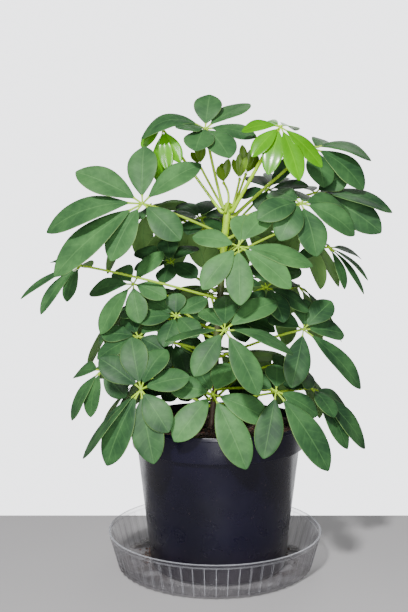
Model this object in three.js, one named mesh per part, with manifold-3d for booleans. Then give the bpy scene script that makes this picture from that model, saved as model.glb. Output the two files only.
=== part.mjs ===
// A young umbrella plant in a nursery pot that stands in a clear fluted saucer.
// Millimetres, +Z up, the viewer on the -Y side. The origin is the centre of the saucer's underside.
import * as THREE from "three";
import { mergeVertices } from "three/addons/utils/BufferGeometryUtils.js";
import Module from "manifold-3d";

const wasm = await Module();
wasm.setup();

const vec = (x, y, z) => new THREE.Vector3(x, y, z);
const gap = 0.3; // left between pieces that touch

// Saucer
const saucerFootRadius = 106.5;
const saucerRimRadius = 117.5;
const saucerHeight = 40;
const saucerBand = 4.5; // plain band under the rim
const saucerWall = 1.8;
const saucerFloor = 1.6;
const fluteCount = 60;
const fluteDepth = 0.8;

// Pot, which stands on the saucer's floor a little off its centre
const potX = 3.6;
const potFootRadius = 74.3;
const potBodyRadius = 89.5;
const potRimRadius = 95.8;
const potTop = 162.5;
const potBand = 27.5; // height of the rim band
const potWall = 1.8;
const potFloor = 2.2;
const potFootHeight = 3; // the ring that the pot stands on
const drainHoles = 8;
const drainHoleRadius = 5;
const drainCircle = 48;
const potSides = 40;

// Soil
const soilTop = 153;
const soilRoughness = 1.6;
const soilSides = 28;

// Main stem, as points from its buried end to its tip, with a radius at each end
const stemPoints = [
  [-6, 2, 112],
  [-5, 1, 150],
  [1, -2, 205],
  [1, 0, 250],
  [5, 0, 293],
  [10, 0, 359],
  [14, 0, 398],
];
const stemFootRadius = 3.1;
const stemTipRadius = 4.2;
const stemSides = 8;

// Leaves
const petioleRadius = 1.4;
const petioleFlare = 1.25; // how much thicker a petiole is where it starts
const petioleSteps = 4;
const hubRadius = 3;
const stalkRadius = 0.9;
const stalkShare = 0.13; // of a leaflet's length
const bladeThickness = 1.4;
const clearance = 0.5; // kept between one leaf and the next
const fineness = 0.2; // edges that change a leaf by less than this are left out
const bladeStations = [
  [0, 0.1],
  [0.22, 0.66],
  [0.55, 1],
  [0.84, 0.74],
];
const depthTries = [0, -9, 9, -18, 18, -27, 27, -38, 38, -50, 50];
const lengthTries = [1, 0.86, 0.72];
const footTries = [0, 3, -3, 6, -6, 10, -10, 15, -15];
const reachTries = [0, 8, -8, 16, -16];
// Sideways bends of a petiole as shares of its length
const bendTries = [0, 0.08, -0.08, 0.16, -0.16, 0.25, -0.25, 0.36, -0.36, 0.48, -0.48];

// Each leaf has its hub, the height on the stem where its petiole starts, the way its upper side faces,
// and the tips of its leaflets as steps from the hub: right, away from the viewer, up. A fourth number
// is the leaflet's arch as a share of its length, and a fifth one its turn about its own length in degrees.
// A leaf may be broad, or have a set width, and its petiole may be stout, as a multiple of the usual radius.
const leaves = [
  {
    name: "leaf_centre_high",
    hub: [22, -85, 355],
    foot: 340,
    face: [0, -0.7, 0.7],
    tips: [
      [-46, 5, 9],
      [-36, -20, -42],
      [1, -28, -57],
      [51, -20, -41],
      [75, 4, -20, 0.12, 8],
      [8, 36, 31],
      [34, 32, 36],
    ],
  },
  {
    name: "leaf_centre_low",
    hub: [8, -100, 273],
    foot: 240,
    face: [0, -0.65, 0.75],
    tips: [
      [-59, 5, -12, 0.16, -32],
      [-30, -22, -43],
      [33, -20, -62],
      [68, -6, -24, 0.32, 25],
      [54, 26, 26],
      [-21, 36, 17],
      [3, 42, 30],
    ],
  },
  {
    name: "leaf_left_high",
    hub: [-76, -45, 398],
    foot: 366,
    face: [-0.2, -0.7, 0.7],
    broad: 1.18,
    tips: [
      [-70, 10, 33],
      [-100, 2, -30, 0.28],
      [-90, -16, -75],
      [-31, -22, -59],
      [40, -18, -38],
      [61, 10, 41],
      [1, 22, 60],
    ],
  },
  {
    name: "leaf_top",
    hub: [-11, -20, 477],
    foot: 393,
    face: [0, -0.55, 0.84],
    broad: 1.2,
    stout: 1.15,
    tips: [
      [5, 22, 38, 0.1],
      [48, 26, 29, 0.1, 10],
      [54, -8, -10],
      [25, -42, -34],
      [-10, -46, -27],
      [-30, -24, -2],
      [-68, 4, -11, 0.5],
    ],
  },
  {
    name: "leaf_lime_top",
    hub: [66, -50, 476],
    foot: 390,
    face: [0, -0.66, 0.75],
    broad: 0.78,
    stout: 1.5,
    tips: [
      [-40, 2, -5, 0.24],
      [-30, -14, -32],
      [-14, -20, -50],
      [18, -20, -56],
      [42, -8, -42],
      [18, 42, 0],
      [-20, 36, 5],
    ],
  },
  {
    name: "leaf_right_middle",
    hub: [87, -55, 398],
    foot: 361,
    face: [0.1, -0.72, 0.68],
    broad: 1.16,
    tips: [
      [55, -4, -33, 0.26],
      [14, -22, -54, 0.22],
      [-24, -26, -38, 0.3],
      [-46, -6, -17, 0.26],
      [-30, 36, 12],
      [14, 46, 8],
      [50, 36, -4],
    ],
  },
  {
    name: "leaf_front_left",
    hub: [-76, -85, 211],
    foot: 212,
    face: [-0.2, -0.7, 0.7],
    broad: 1.1,
    tips: [
      [-43, 12, 30],
      [-11, 22, 50],
      [26, 16, 38, 0.3],
      [50, -4, 13],
      [29, -20, -40],
      [14, -20, -72],
      [-34, -12, -76],
      [-60, 2, -72, 0.16, -35],
    ],
  },
  {
    name: "leaf_front_low",
    hub: [-3, -80, 205],
    foot: 184,
    face: [0, -0.75, 0.65],
    broad: 1.1,
    tips: [
      [33, -30, -70],
      [-39, -22, -44],
      [57, -6, -26],
      [-46, 8, 8],
      [19, 34, 26],
      [-20, 36, 24],
    ],
  },
  {
    name: "leaf_front_right",
    hub: [61, -80, 208],
    foot: 196,
    face: [0.1, -0.72, 0.68],
    tips: [
      [52, -18, -78],
      [-14, -24, -64],
      [44, 10, -27],
      [3, 34, 22],
      [-34, 24, 10],
    ],
  },
  {
    name: "leaf_right_low",
    hub: [92, -45, 267],
    foot: 232,
    face: [0.2, -0.7, 0.68],
    broad: 1,
    tips: [
      [60, -6, -62, 0.16, 12],
      [-15, -20, -57],
      [4, 24, 30],
      [32, 20, 28],
      [46, 22, -8],
      [-36, 20, 10],
    ],
  },
  {
    name: "leaf_left_middle",
    hub: [-88, -20, 313],
    foot: 276,
    face: [-0.3, -0.6, 0.74],
    tips: [
      [-34, -12, -53],
      [8, -16, -41],
      [36, -12, -14],
      [32, 14, 34],
      [-20, 40, 14],
      [-50, 22, -12],
    ],
  },
  {
    name: "leaf_left_low",
    hub: [-82, -35, 258],
    foot: 236,
    face: [-0.3, -0.6, 0.74],
    tips: [
      [-40, -2, 2],
      [-42, -14, -22],
      [-14, -22, -30],
      [28, -12, -14],
      [-14, 38, 22],
      [30, 26, 14],
    ],
  },
  {
    name: "leaf_left_far",
    hub: [-145, -10, 332],
    foot: 296,
    face: [-0.4, -0.05, 0.9],
    width: 18,
    tips: [
      [-65, -4, -36, 0.16, 22],
      [-42, -12, -52, 0.16, 42],
      [-13, -16, -38, 0.16, 38],
      [-38, 36, 2],
      [6, 40, -4],
    ],
  },
  {
    name: "leaf_lime_small",
    hub: [-56, -15, 477],
    foot: 389,
    face: [-0.1, -0.85, 0.5],
    width: 17,
    stout: 1.15,
    tips: [
      [6, -8, -45],
      [19, -4, -36],
      [-24, -8, -18],
      [-6, 12, -56],
      [-18, 20, 0],
    ],
  },
  {
    name: "leaf_right_top",
    hub: [106, 10, 459],
    foot: 384,
    face: [0.25, -0.45, 0.86],
    broad: 1.25,
    stout: 1.3,
    tips: [
      [24, 34, 8],
      [64, 0, -14, 0.32],
      [54, -12, -46, 0.2, -18],
      [8, -34, -44],
      [-10, 50, 2],
      [-44, 12, -38],
    ],
  },
  {
    name: "leaf_right_high",
    hub: [108, 2, 410],
    foot: 382,
    face: [0.2, -0.5, 0.84],
    broad: 1.15,
    tips: [
      [84, -2, -21, 0.2],
      [71, -8, -43, 0.12, -40],
      [29, -36, -38],
      [36, -16, 20, 0.16, -25],
      [-16, 44, 8],
      [48, 42, -4],
    ],
  },
  {
    name: "leaf_right_far",
    hub: [122, -10, 352],
    foot: 322,
    face: [0.5, -0.3, 0.81],
    width: 19,
    tips: [
      [42, -6, -36],
      [36, -16, -50],
      [14, -24, -44],
      [-34, -8, -12],
      [-12, 40, 4],
      [40, 30, -14],
    ],
  },
  {
    name: "leaf_middle_right",
    hub: [53, -40, 311],
    foot: 284,
    face: [0.15, -0.5, 0.85],
    tips: [
      [44, -6, -26, 0.2],
      [16, -32, -34],
      [-24, -26, -30],
      [-40, 4, 6],
      [-8, 36, 24],
      [38, 22, 18],
    ],
  },
  {
    name: "leaf_middle_left",
    hub: [-42, -25, 279],
    foot: 262,
    face: [-0.15, -0.65, 0.74],
    tips: [
      [-42, -4, -4],
      [-12, -24, -30],
      [24, -22, -20],
      [34, 2, 18],
      [0, 30, 34],
      [-36, 24, 18],
    ],
  },
  {
    name: "leaf_inner_left",
    hub: [-48, 5, 335],
    foot: 304,
    face: [-0.2, -0.5, 0.84],
    tips: [
      [-40, -12, -8],
      [-8, -30, -22],
      [28, -20, -16],
      [-6, 30, 26],
      [-42, 26, 10],
      [28, 30, 16],
    ],
  },
  {
    name: "leaf_inner_top",
    hub: [-16, 12, 383],
    foot: 350,
    face: [-0.05, -0.5, 0.86],
    tips: [
      [-36, -14, 2],
      [-14, -30, -18],
      [24, -22, -14],
      [42, 8, 4],
      [10, 34, 20],
      [-24, 32, 16],
    ],
  },
  {
    name: "leaf_inner_right",
    hub: [58, 14, 414],
    foot: 372,
    face: [0.1, -0.5, 0.86],
    tips: [
      [-32, -14, -8],
      [-10, -28, -24],
      [24, -24, -18],
      [44, -4, 4],
      [20, 34, 18],
      [-20, 32, 16],
    ],
  },
  {
    name: "leaf_inner_middle",
    hub: [20, 40, 272],
    foot: 250,
    face: [0, -0.5, 0.86],
    tips: [
      [-58, -4, -6],
      [-30, -24, -26],
      [14, -30, -26],
      [48, -14, -16],
      [60, 12, -6],
      [0, 38, 14],
    ],
  },
  {
    name: "leaf_inner_low",
    hub: [-36, 34, 206],
    foot: 182,
    face: [0, -0.9, 0.42],
    tips: [
      [-46, 4, -20],
      [-24, 12, -32],
      [6, 14, -34],
      [34, -4, -8],
      [0, 20, 26],
    ],
  },
  {
    name: "leaf_inner_base",
    hub: [32, 30, 207],
    foot: 187,
    face: [0.1, -0.8, 0.6],
    tips: [
      [-32, 0, -12],
      [-8, 10, -30],
      [14, 4, -32],
      [34, -8, -14],
      [4, 28, 14],
    ],
  },
  {
    name: "leaf_inner_side",
    hub: [-46, 26, 244],
    foot: 224,
    face: [0.1, -0.75, 0.65],
    tips: [
      [-34, 0, -10],
      [-16, -12, -30],
      [14, -16, -32],
      [34, -2, -8],
      [18, 14, 26],
      [-18, 14, 26],
    ],
  },
  {
    name: "leaf_low_right",
    hub: [104, -20, 200],
    foot: 178,
    face: [0.35, -0.55, 0.76],
    tips: [
      [21, -28, -26],
      [38, -12, -64],
      [60, 6, -68],
      [46, 36, -34],
      [-4, 44, -8],
      [-30, 10, 4],
    ],
  },
  {
    name: "leaf_low_left",
    hub: [-126, 4, 216],
    foot: 190,
    face: [-0.5, -0.4, 0.77],
    tips: [
      [-32, -8, -55],
      [-9, -24, -48],
      [-34, 42, -12],
      [-8, 50, -6],
      [10, 40, -14],
      [28, -6, -30],
    ],
  },
  {
    name: "young_leaf_right",
    hub: [26, -8, 424],
    foot: 396,
    face: [0, -0.8, 0.5],
    width: 8,
    tips: [
      [-1, 0, 27, 0.04],
      [7, -5, 24, 0.04],
      [-7, 4, 22, 0.04],
    ],
  },
  {
    name: "young_leaf_left",
    hub: [9, -8, 420],
    foot: 395,
    face: [0, -0.8, 0.5],
    width: 10,
    tips: [
      [5, -2, 26, 0.05],
      [-6, -5, 18, 0.05],
      [-2, 6, 22, 0.05],
    ],
  },
  {
    name: "young_leaf_far",
    hub: [-17, 2, 440],
    foot: 395,
    face: [0, -0.8, 0.5],
    width: 8,
    tips: [
      [-3, 0, 25, 0.05],
      [5, -4, 20, 0.05],
      [-9, 3, 14, 0.05],
    ],
  },
  {
    name: "young_leaf_behind",
    hub: [33, 6, 430],
    foot: 394,
    face: [0, -0.8, 0.5],
    width: 10,
    tips: [
      [-4, 0, 32, 0.05],
      [7, -4, 28, 0.05],
      [14, 4, 20, 0.05],
    ],
  },
];

// Leaves of the back of the crown, by a rule: five up each of three rows, from the left round to the right
const backRows = [
  { height: 212, reach: 104, count: 5, lift: -22 },
  { height: 296, reach: 108, count: 5, lift: -34 },
  { height: 384, reach: 92, count: 4, lift: -34 },
];
const backLeaflets = 7;
const backLeafletLength = 66;

// A number from 0 to 1 that looks random and is the same each time
function vary(seed) {
  const wave = Math.sin(seed * 12.9898) * 43758.5453;
  return wave - Math.floor(wave);
}

function backLeaves() {
  const made = [];
  backRows.forEach((row, r) => {
    for (let i = 0; i < row.count; i++) {
      const seed = 10 * r + i + 1;
      const turn = ((i + 0.5 + 0.3 * (vary(seed) - 0.5)) / row.count) * Math.PI;
      const out = vec(Math.cos(turn), Math.sin(turn), 0);
      const reach = row.reach * (0.86 + 0.2 * vary(seed + 0.3));
      const height = row.height + 24 * (vary(seed + 0.6) - 0.5);
      const hub = out.clone().multiplyScalar(reach).add(vec(5, 0, height));
      const face = out.clone().multiplyScalar(0.6).add(vec(0, 0, 0.8));
      made.push({
        name: `leaf_back_${seed}`,
        hub: hub.toArray(),
        foot: height + row.lift,
        face: face.toArray(),
        tips: spreadTips(face, seed),
      });
    }
  });
  return made;
}

// Tips spread evenly round a hub, drooping away from the way the leaf faces
function spreadTips(face, seed) {
  const up = face.clone().normalize();
  const side = vec(0, 0, 1).cross(up).normalize();
  const down = side.clone().cross(up);
  const tips = [];
  for (let i = 0; i < backLeaflets; i++) {
    const turn = ((i + 0.4 * vary(seed + 7 * i)) / backLeaflets) * 2 * Math.PI;
    const low = 0.5 - 0.5 * Math.cos(turn); // 0 for the leaflet that points uphill, 1 downhill
    const length = backLeafletLength * (0.66 + 0.3 * low + 0.2 * vary(seed + 5 * i));
    const tip = down.clone().multiplyScalar(-Math.cos(turn) * length);
    tip.addScaledVector(side, Math.sin(turn) * length);
    tip.addScaledVector(up, -0.3 * length);
    tip.z -= 0.16 * length;
    tips.push(tip.toArray());
  }
  return tips;
}

// A closed skin over rings of points, where a ring of one point is a tip
function loft(rings) {
  const points = rings.flat();
  const faces = [];
  let start = 0;
  for (let i = 0; i + 1 < rings.length; i++) {
    const [here, there] = [rings[i].length, rings[i + 1].length];
    const next = start + here;
    for (let j = 0; j < Math.max(here, there); j++) {
      const k = (j + 1) % Math.max(here, there);
      if (here > 1) faces.push(start + j, start + k, next + (there > 1 ? k : 0));
      if (there > 1) faces.push(start + (here > 1 ? j : 0), next + k, next + j);
    }
    start = next;
  }
  const last = rings.at(-1).length;
  for (let j = 1; j + 1 < rings[0].length; j++) faces.push(0, j + 1, j);
  for (let j = 1; j + 1 < last; j++) faces.push(start, start + j, start + j + 1);
  const geometry = new THREE.BufferGeometry().setFromPoints(points);
  geometry.setIndex(faces);
  return geometry;
}

// A closed geometry as a solid for cutting and joining, whichever way its rings were wound
function solidOf(geometry) {
  geometry.deleteAttribute("normal");
  geometry.deleteAttribute("uv");
  const merged = mergeVertices(geometry, 1e-3);
  const index = merged.index.array;
  const kept = [];
  for (let i = 0; i < index.length; i += 3) {
    const [a, b, c] = index.slice(i, i + 3);
    if (a !== b && b !== c && c !== a) kept.push(a, b, c);
  }
  if (signedVolume(merged.attributes.position, kept) < 0) kept.reverse();
  return new wasm.Manifold(
    new wasm.Mesh({
      numProp: 3,
      vertProperties: Float32Array.from(merged.attributes.position.array),
      triVerts: Uint32Array.from(kept),
    }),
  );
}

function signedVolume(position, index) {
  const corner = (k) => new THREE.Vector3().fromBufferAttribute(position, index[k]);
  let sum = 0;
  for (let i = 0; i < index.length; i += 3) {
    sum += corner(i).dot(corner(i + 1).cross(corner(i + 2)));
  }
  return sum;
}

function geometryOf(solid) {
  const mesh = solid.getMesh();
  const geometry = new THREE.BufferGeometry();
  geometry.setAttribute("position", new THREE.BufferAttribute(mesh.vertProperties, 3));
  geometry.setIndex(new THREE.BufferAttribute(mesh.triVerts, 1));
  return geometry;
}

// A profile of [radius, height] pairs turned about the vertical axis
function turned(profile, sides) {
  const outline = profile.map(([r, z]) => new THREE.Vector2(r, z));
  return new THREE.LatheGeometry(outline, sides).rotateX(Math.PI / 2);
}

function fluted(geometry) {
  const position = geometry.attributes.position;
  const top = saucerHeight - saucerBand;
  for (let i = 0; i < position.count; i++) {
    const [x, y, z] = [position.getX(i), position.getY(i), position.getZ(i)];
    const radius = Math.hypot(x, y);
    const skin = saucerFootRadius + ((saucerRimRadius - saucerFootRadius) * z) / saucerHeight;
    if (z > top - 1.5 || radius < skin - saucerWall / 2 - fluteDepth) continue;
    const wave = Math.cos(fluteCount * Math.atan2(y, x));
    const grown = 1 + (fluteDepth * wave) / radius;
    position.setXY(i, x * grown, y * grown);
  }
  return geometry;
}

function makeSaucer() {
  const slope = (saucerRimRadius - saucerFootRadius) / saucerHeight;
  const skin = (z) => saucerFootRadius + slope * z;
  const bandFoot = saucerHeight - saucerBand;
  const outer = [
    [0, 0],
    [saucerFootRadius - 2, 0],
    [skin(2), 2],
    [skin(bandFoot - 2), bandFoot - 2],
    [skin(bandFoot) + 0.6, bandFoot],
    [skin(saucerHeight) + 0.6, saucerHeight],
  ];
  const inner = [
    [skin(saucerHeight) - saucerWall, saucerHeight],
    [skin(saucerFloor) - saucerWall - 1, saucerFloor],
    [0, saucerFloor],
  ];
  return solidOf(fluted(turned([...outer, ...inner], 2 * fluteCount)));
}

const potFoot = saucerFloor + gap;
const potBodyTop = potTop - potBand;

// The pot's outer radius at a height on its tapered body
function potRadius(z) {
  const share = (z - potFoot) / (potBodyTop - potFoot);
  return potFootRadius + (potBodyRadius - potFootRadius) * share;
}

function makePot() {
  const floorTop = potFoot + potFootHeight + potFloor;
  const profile = [
    [0, potFoot + potFootHeight],
    [potFootRadius - 8, potFoot + potFootHeight],
    [potFootRadius - 6, potFoot],
    [potFootRadius - 1.5, potFoot],
    [potRadius(potFoot + 2), potFoot + 2],
    [potBodyRadius, potBodyTop],
    [potRimRadius - 1.2, potBodyTop + 1.2],
    [potRimRadius - 0.4, potTop - 1.6],
    [potRimRadius - 1.2, potTop],
    [potRimRadius - potWall - 0.6, potTop],
    [potRimRadius - potWall - 1.4, potBodyTop + 4],
    [potBodyRadius - potWall, potBodyTop],
    [potRadius(floorTop) - potWall, floorTop],
    [0, floorTop],
  ];
  let pot = solidOf(turned(profile, potSides).translate(potX, 0, 0));
  for (let i = 0; i < drainHoles; i++) {
    const turn = ((i + 0.5) / drainHoles) * 2 * Math.PI;
    const plug = new THREE.CylinderGeometry(drainHoleRadius, drainHoleRadius, 12, 8);
    plug.rotateX(Math.PI / 2);
    plug.translate(potX + drainCircle * Math.cos(turn), drainCircle * Math.sin(turn), floorTop);
    pot = pot.subtract(solidOf(plug));
  }
  return pot;
}

function makeSoil(stemHole) {
  const floor = potFoot + potFootHeight + potFloor + gap;
  const inside = (z) => potRadius(z) - potWall - gap;
  const profile = [
    [0, floor],
    [inside(floor), floor],
    [inside(potBodyTop), potBodyTop],
    [potRimRadius - potWall - 1.8, potBodyTop + 4],
    [potRimRadius - potWall - 1.6, soilTop - 1],
    [74, soilTop],
    [52, soilTop + 0.4],
    [28, soilTop + 0.8],
    [0, soilTop + 1],
  ];
  const geometry = turned(profile, soilSides);
  const position = geometry.attributes.position;
  for (let i = 0; i < position.count; i++) {
    const [x, y, z] = [position.getX(i), position.getY(i), position.getZ(i)];
    if (z < soilTop - 0.5) continue;
    const bump = Math.sin(0.11 * x + 0.7) * Math.cos(0.13 * y) + 0.6 * Math.sin(0.31 * x - 0.23 * y);
    position.setZ(i, z + soilRoughness * bump);
  }
  geometry.translate(potX, 0, 0);
  return solidOf(geometry).subtract(stemHole);
}

const stemFoot = stemPoints[0][2];
const stemTop = stemPoints.at(-1)[2];

// The point on the stem's centre line at a height, or at its top for a height above that
function stemAt(height) {
  const z = Math.min(height, stemTop);
  const above = stemPoints.findIndex((p) => p[2] > stemFoot && p[2] >= z);
  const [low, high] = [stemPoints[above - 1], stemPoints[above]];
  return vec(...low).lerp(vec(...high), (z - low[2]) / (high[2] - low[2]));
}

function stemRadius(z) {
  return stemFootRadius + ((stemTipRadius - stemFootRadius) * (z - stemFoot)) / (stemTop - stemFoot);
}

// A tube of a few sides along points, with a radius at each point
function tube(points, radii, sides) {
  const rings = points.map((p, i) => {
    const before = points[Math.max(i - 1, 0)];
    const after = points[Math.min(i + 1, points.length - 1)];
    const along = after.clone().sub(before).normalize();
    const across = along.clone().cross(vec(0.31, 0.94, 0.1)).normalize();
    const other = along.clone().cross(across);
    return Array.from({ length: sides }, (_, j) => {
      const turn = (j / sides) * 2 * Math.PI;
      const ringPoint = p.clone().addScaledVector(across, radii[i] * Math.cos(turn));
      return ringPoint.addScaledVector(other, radii[i] * Math.sin(turn));
    });
  });
  return loft(rings);
}

function makeStem(grown) {
  const points = stemPoints.map((p) => vec(...p));
  const radii = points.map((p) => stemRadius(p.z) + grown);
  const tip = points.at(-1).clone().add(vec(0.6, 0, 2.5));
  return solidOf(tube([...points, tip], [...radii, stemTipRadius * 0.5 + grown], stemSides));
}

// The width of a leaflet's blade for its length
const bladeWidth = (length) => 20 + 0.14 * length;

// One leaflet as three-cornered rings from its stalk to its tip
function makeLeaflet(hub, step, face, arch, turn, width, grown) {
  const length = step.length();
  const ahead = step.clone().normalize();
  const across = ahead.clone().cross(face).normalize();
  const above = across.clone().cross(ahead);
  const middle = step.clone().multiplyScalar(0.5).addScaledVector(above, arch * length);
  const at = (t) => {
    const point = hub.clone().addScaledVector(middle, 2 * t * (1 - t));
    return point.addScaledVector(step, t * t);
  };
  const rings = [[0.8 / length, stalkRadius * 0.7, stalkRadius * 1.2]];
  for (const [s, share] of bladeStations) {
    const half = Math.max((share * width) / 2, stalkRadius);
    rings.push([stalkShare + (1 - stalkShare) * s, half, bladeThickness]);
  }
  const roll = (turn * Math.PI) / 180;
  const skin = rings.map(([t, half, depth]) => {
    const along = at(t + 0.01).sub(at(t - 0.01)).normalize();
    const up = across.clone().cross(along).normalize();
    const right = across.clone().multiplyScalar(Math.cos(roll));
    right.addScaledVector(up, Math.sin(roll));
    const over = right.clone().cross(along).normalize();
    const centre = at(t).addScaledVector(over, depth / 3);
    const corners = [
      centre.clone().addScaledVector(right, -half - 2 * grown),
      centre.clone().addScaledVector(over, -depth - 2 * grown),
      centre.clone().addScaledVector(right, half + 2 * grown),
    ];
    if (grown) corners.push(centre.clone().addScaledVector(over, 2 * grown));
    return corners;
  });
  return solidOf(loft([...skin, [at(1 + (2 * grown) / length)]]));
}

// A leaf's hub, moved out from the stem by a reach
function hubOf(leaf, reach) {
  const hub = vec(...leaf.hub);
  return hub.addScaledVector(vec(hub.x, hub.y, 0).normalize(), reach);
}

function makePetiole(leaf, [foot, bend, reach], grown) {
  const hub = hubOf(leaf, reach);
  const radius = petioleRadius * (leaf.stout ?? 1);
  const centre = stemAt(foot);
  const out = hub.clone().sub(centre).setZ(0).normalize();
  const base = centre.clone().addScaledVector(out, stemRadius(centre.z) + gap);
  const start = base.clone().addScaledVector(out, petioleFlare * radius);
  const span = hub.clone().sub(start);
  const aside = vec(0, 0, 1).cross(out);
  const control = start.clone().addScaledVector(span, 0.5);
  control.addScaledVector(out, 0.04 * span.length()).addScaledVector(aside, bend * span.length());
  control.z += 0.06 * span.length();
  const curve = new THREE.QuadraticBezierCurve3(start, control, hub);
  const points = [base, ...curve.getPoints(petioleSteps)];
  const radii = points.map((_, i) => radius * (i < 2 ? petioleFlare : 1.04 - 0.04 * i) + grown);
  return solidOf(tube(points, radii, 4));
}

function hubBall(hub, grown) {
  return solidOf(new THREE.OctahedronGeometry(hubRadius + grown, 0).translate(...hub.toArray()));
}

// Boxes that share no space can't touch, so most pairs need no cut
function boxesMeet(a, b) {
  return [0, 1, 2].every((k) => a.min[k] <= b.max[k] && b.min[k] <= a.max[k]);
}

function touches(fat, others) {
  const box = fat.boundingBox();
  return others.some((other) => {
    if (!boxesMeet(box, other.box)) return false;
    const common = fat.intersect(other.solid);
    const meets = !common.isEmpty();
    common.delete();
    return meets;
  });
}

function keep(solid, list) {
  list.push({ solid, box: solid.boundingBox() });
}

// The first of some choices whose grown solid is clear of all that stands already
function firstClear(choices, make, others) {
  return choices.find((choice) => !touches(make(choice, clearance), others));
}

function makeLeaf(leaf, others) {
  const face = vec(...leaf.face).normalize();
  const routes = reachTries.flatMap((reach) =>
    footTries.flatMap((lift) => bendTries.map((bend) => [leaf.foot + lift, bend, reach])),
  );
  const petiole = (route, grown) => makePetiole(leaf, route, grown);
  const offStem = routes.filter((route) => !touches(petiole(route, 0), [stemKept]));
  const route = firstClear(offStem, petiole, others);
  if (!route) throw new Error(`${leaf.name} has no room for its petiole`);
  const hub = hubOf(leaf, route[2]);
  const own = [petiole(route, 0), hubBall(hub, 0)];
  const fat = [petiole(route, clearance), hubBall(hub, clearance)];
  const around = [...others, stemKept];
  leaf.tips.forEach(([x, y, z, arch = 0.16, turn = 0], i) => {
    const tries = lengthTries.flatMap((share) => depthTries.map((depth) => [share, depth]));
    const make = ([share, depth], grown) => {
      const step = vec(x, y + depth, z).multiplyScalar(share);
      const width = leaf.width ?? (leaf.broad ?? 1) * bladeWidth(step.length());
      return makeLeaflet(hub, step, face, arch, turn, width, grown);
    };
    const choice = firstClear(tries, make, around);
    if (!choice) throw new Error(`${leaf.name} has no room for its leaflet ${i}`);
    own.push(make(choice, 0));
    fat.push(make(choice, clearance));
  });
  fat.forEach((solid) => keep(solid, others));
  return own.reduce((a, b) => a.add(b)).asOriginal().simplify(fineness);
}

// Materials
const plastic = new THREE.MeshStandardMaterial({ color: 0x171b2a, roughness: 0.42, metalness: 0 });
const clear = new THREE.MeshStandardMaterial({
  color: 0xdfe3e4,
  roughness: 0.12,
  metalness: 0,
  transparent: true,
  opacity: 0.35,
});
const earth = new THREE.MeshStandardMaterial({ color: 0x2b1c14, roughness: 0.95, metalness: 0 });
const bark = new THREE.MeshStandardMaterial({ color: 0x6f7a3a, roughness: 0.7, metalness: 0 });
const green = new THREE.MeshStandardMaterial({ color: 0x3f7a45, roughness: 0.45, metalness: 0 });
const lime = new THREE.MeshStandardMaterial({ color: 0x8fbf1f, roughness: 0.3, metalness: 0 });

const plant = new THREE.Group();

function place(name, solid, material) {
  const mesh = new THREE.Mesh(geometryOf(solid), material);
  mesh.name = name;
  plant.add(mesh);
}

place("saucer", makeSaucer(), clear);
const pot = makePot();
place("pot", pot, plastic);
const soil = makeSoil(makeStem(gap));
place("soil", soil, earth);
const stem = makeStem(0);
place("main_stem", stem, bark);

const standing = [];
keep(pot, standing);
keep(soil, standing);
const stemKept = { solid: stem, box: stem.boundingBox() };
for (const leaf of [...leaves, ...backLeaves()]) {
  const young = leaf.name.includes("lime") || leaf.name.includes("young");
  place(leaf.name, makeLeaf(leaf, standing), young ? lime : green);
}

export default plant;
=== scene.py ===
# A young umbrella plant in a dark nursery pot, which stands in a clear fluted saucer.
# Lengths in the settings of the camera and the pieces are millimetres, and mm turns them into Blender's
# metres. Those of the lamps, the floor and the finishes are metres.
import math
import random
import bmesh
import bpy
import numpy as np
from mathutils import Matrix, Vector, kdtree, noise


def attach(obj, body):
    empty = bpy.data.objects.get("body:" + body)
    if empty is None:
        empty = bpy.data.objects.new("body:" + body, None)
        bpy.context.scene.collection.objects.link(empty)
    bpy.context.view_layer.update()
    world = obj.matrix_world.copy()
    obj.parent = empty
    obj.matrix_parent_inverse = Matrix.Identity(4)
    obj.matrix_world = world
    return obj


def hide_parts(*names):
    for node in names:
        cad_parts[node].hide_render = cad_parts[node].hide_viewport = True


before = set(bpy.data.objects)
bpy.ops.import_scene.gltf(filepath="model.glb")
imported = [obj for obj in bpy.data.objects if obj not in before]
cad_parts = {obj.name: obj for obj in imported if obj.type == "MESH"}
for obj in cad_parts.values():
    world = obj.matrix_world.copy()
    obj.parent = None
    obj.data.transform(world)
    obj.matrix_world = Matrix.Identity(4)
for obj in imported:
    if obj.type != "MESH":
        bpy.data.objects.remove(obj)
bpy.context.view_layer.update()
mm = 0.001
luck = random.Random(11)
print("frame loaded,", len(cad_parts), "nodes")


# Small helpers for modelling

def deselectAll():
    if bpy.context.object and bpy.context.object.mode != "OBJECT":
        bpy.ops.object.mode_set(mode="OBJECT")
    bpy.ops.object.select_all(action="DESELECT")


def pick(*pieces):
    deselectAll()
    for piece in pieces:
        piece.select_set(True)
    bpy.context.view_layer.objects.active = pieces[0]
    return pieces[0]


def editMode(piece):
    pick(piece)
    bpy.ops.object.mode_set(mode="EDIT")
    bpy.ops.mesh.select_mode(type="VERT")
    bpy.ops.mesh.select_all(action="DESELECT")


def selectVerts(piece, test):
    mesh = bmesh.from_edit_mesh(piece.data)
    for vert in mesh.verts:
        vert.select = test(vert)
    mesh.select_flush_mode()
    bmesh.update_edit_mesh(piece.data)


def objectMode():
    bpy.ops.object.mode_set(mode="OBJECT")


def applyPlace(piece):
    pick(piece)
    bpy.ops.object.transform_apply(location=True, rotation=True, scale=True)


def applyModifier(piece, kind, **settings):
    pick(piece)
    modifier = piece.modifiers.new(kind.lower(), kind)
    for key, value in settings.items():
        setattr(modifier, key, value)
    bpy.ops.object.modifier_apply(modifier=modifier.name)


def roundOff(piece):
    applyModifier(piece, "SUBSURF", levels=1, render_levels=1)


def joined(name, pieces):
    pick(*pieces)
    if len(pieces) > 1:
        bpy.ops.object.join()
    piece = bpy.context.object
    piece.name = name
    piece.data.name = name
    return piece


def smooth(piece, degrees=None):
    pick(piece)
    if degrees is None:
        bpy.ops.object.shade_smooth()
    else:
        bpy.ops.object.shade_smooth_by_angle(angle=math.radians(degrees))


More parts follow.
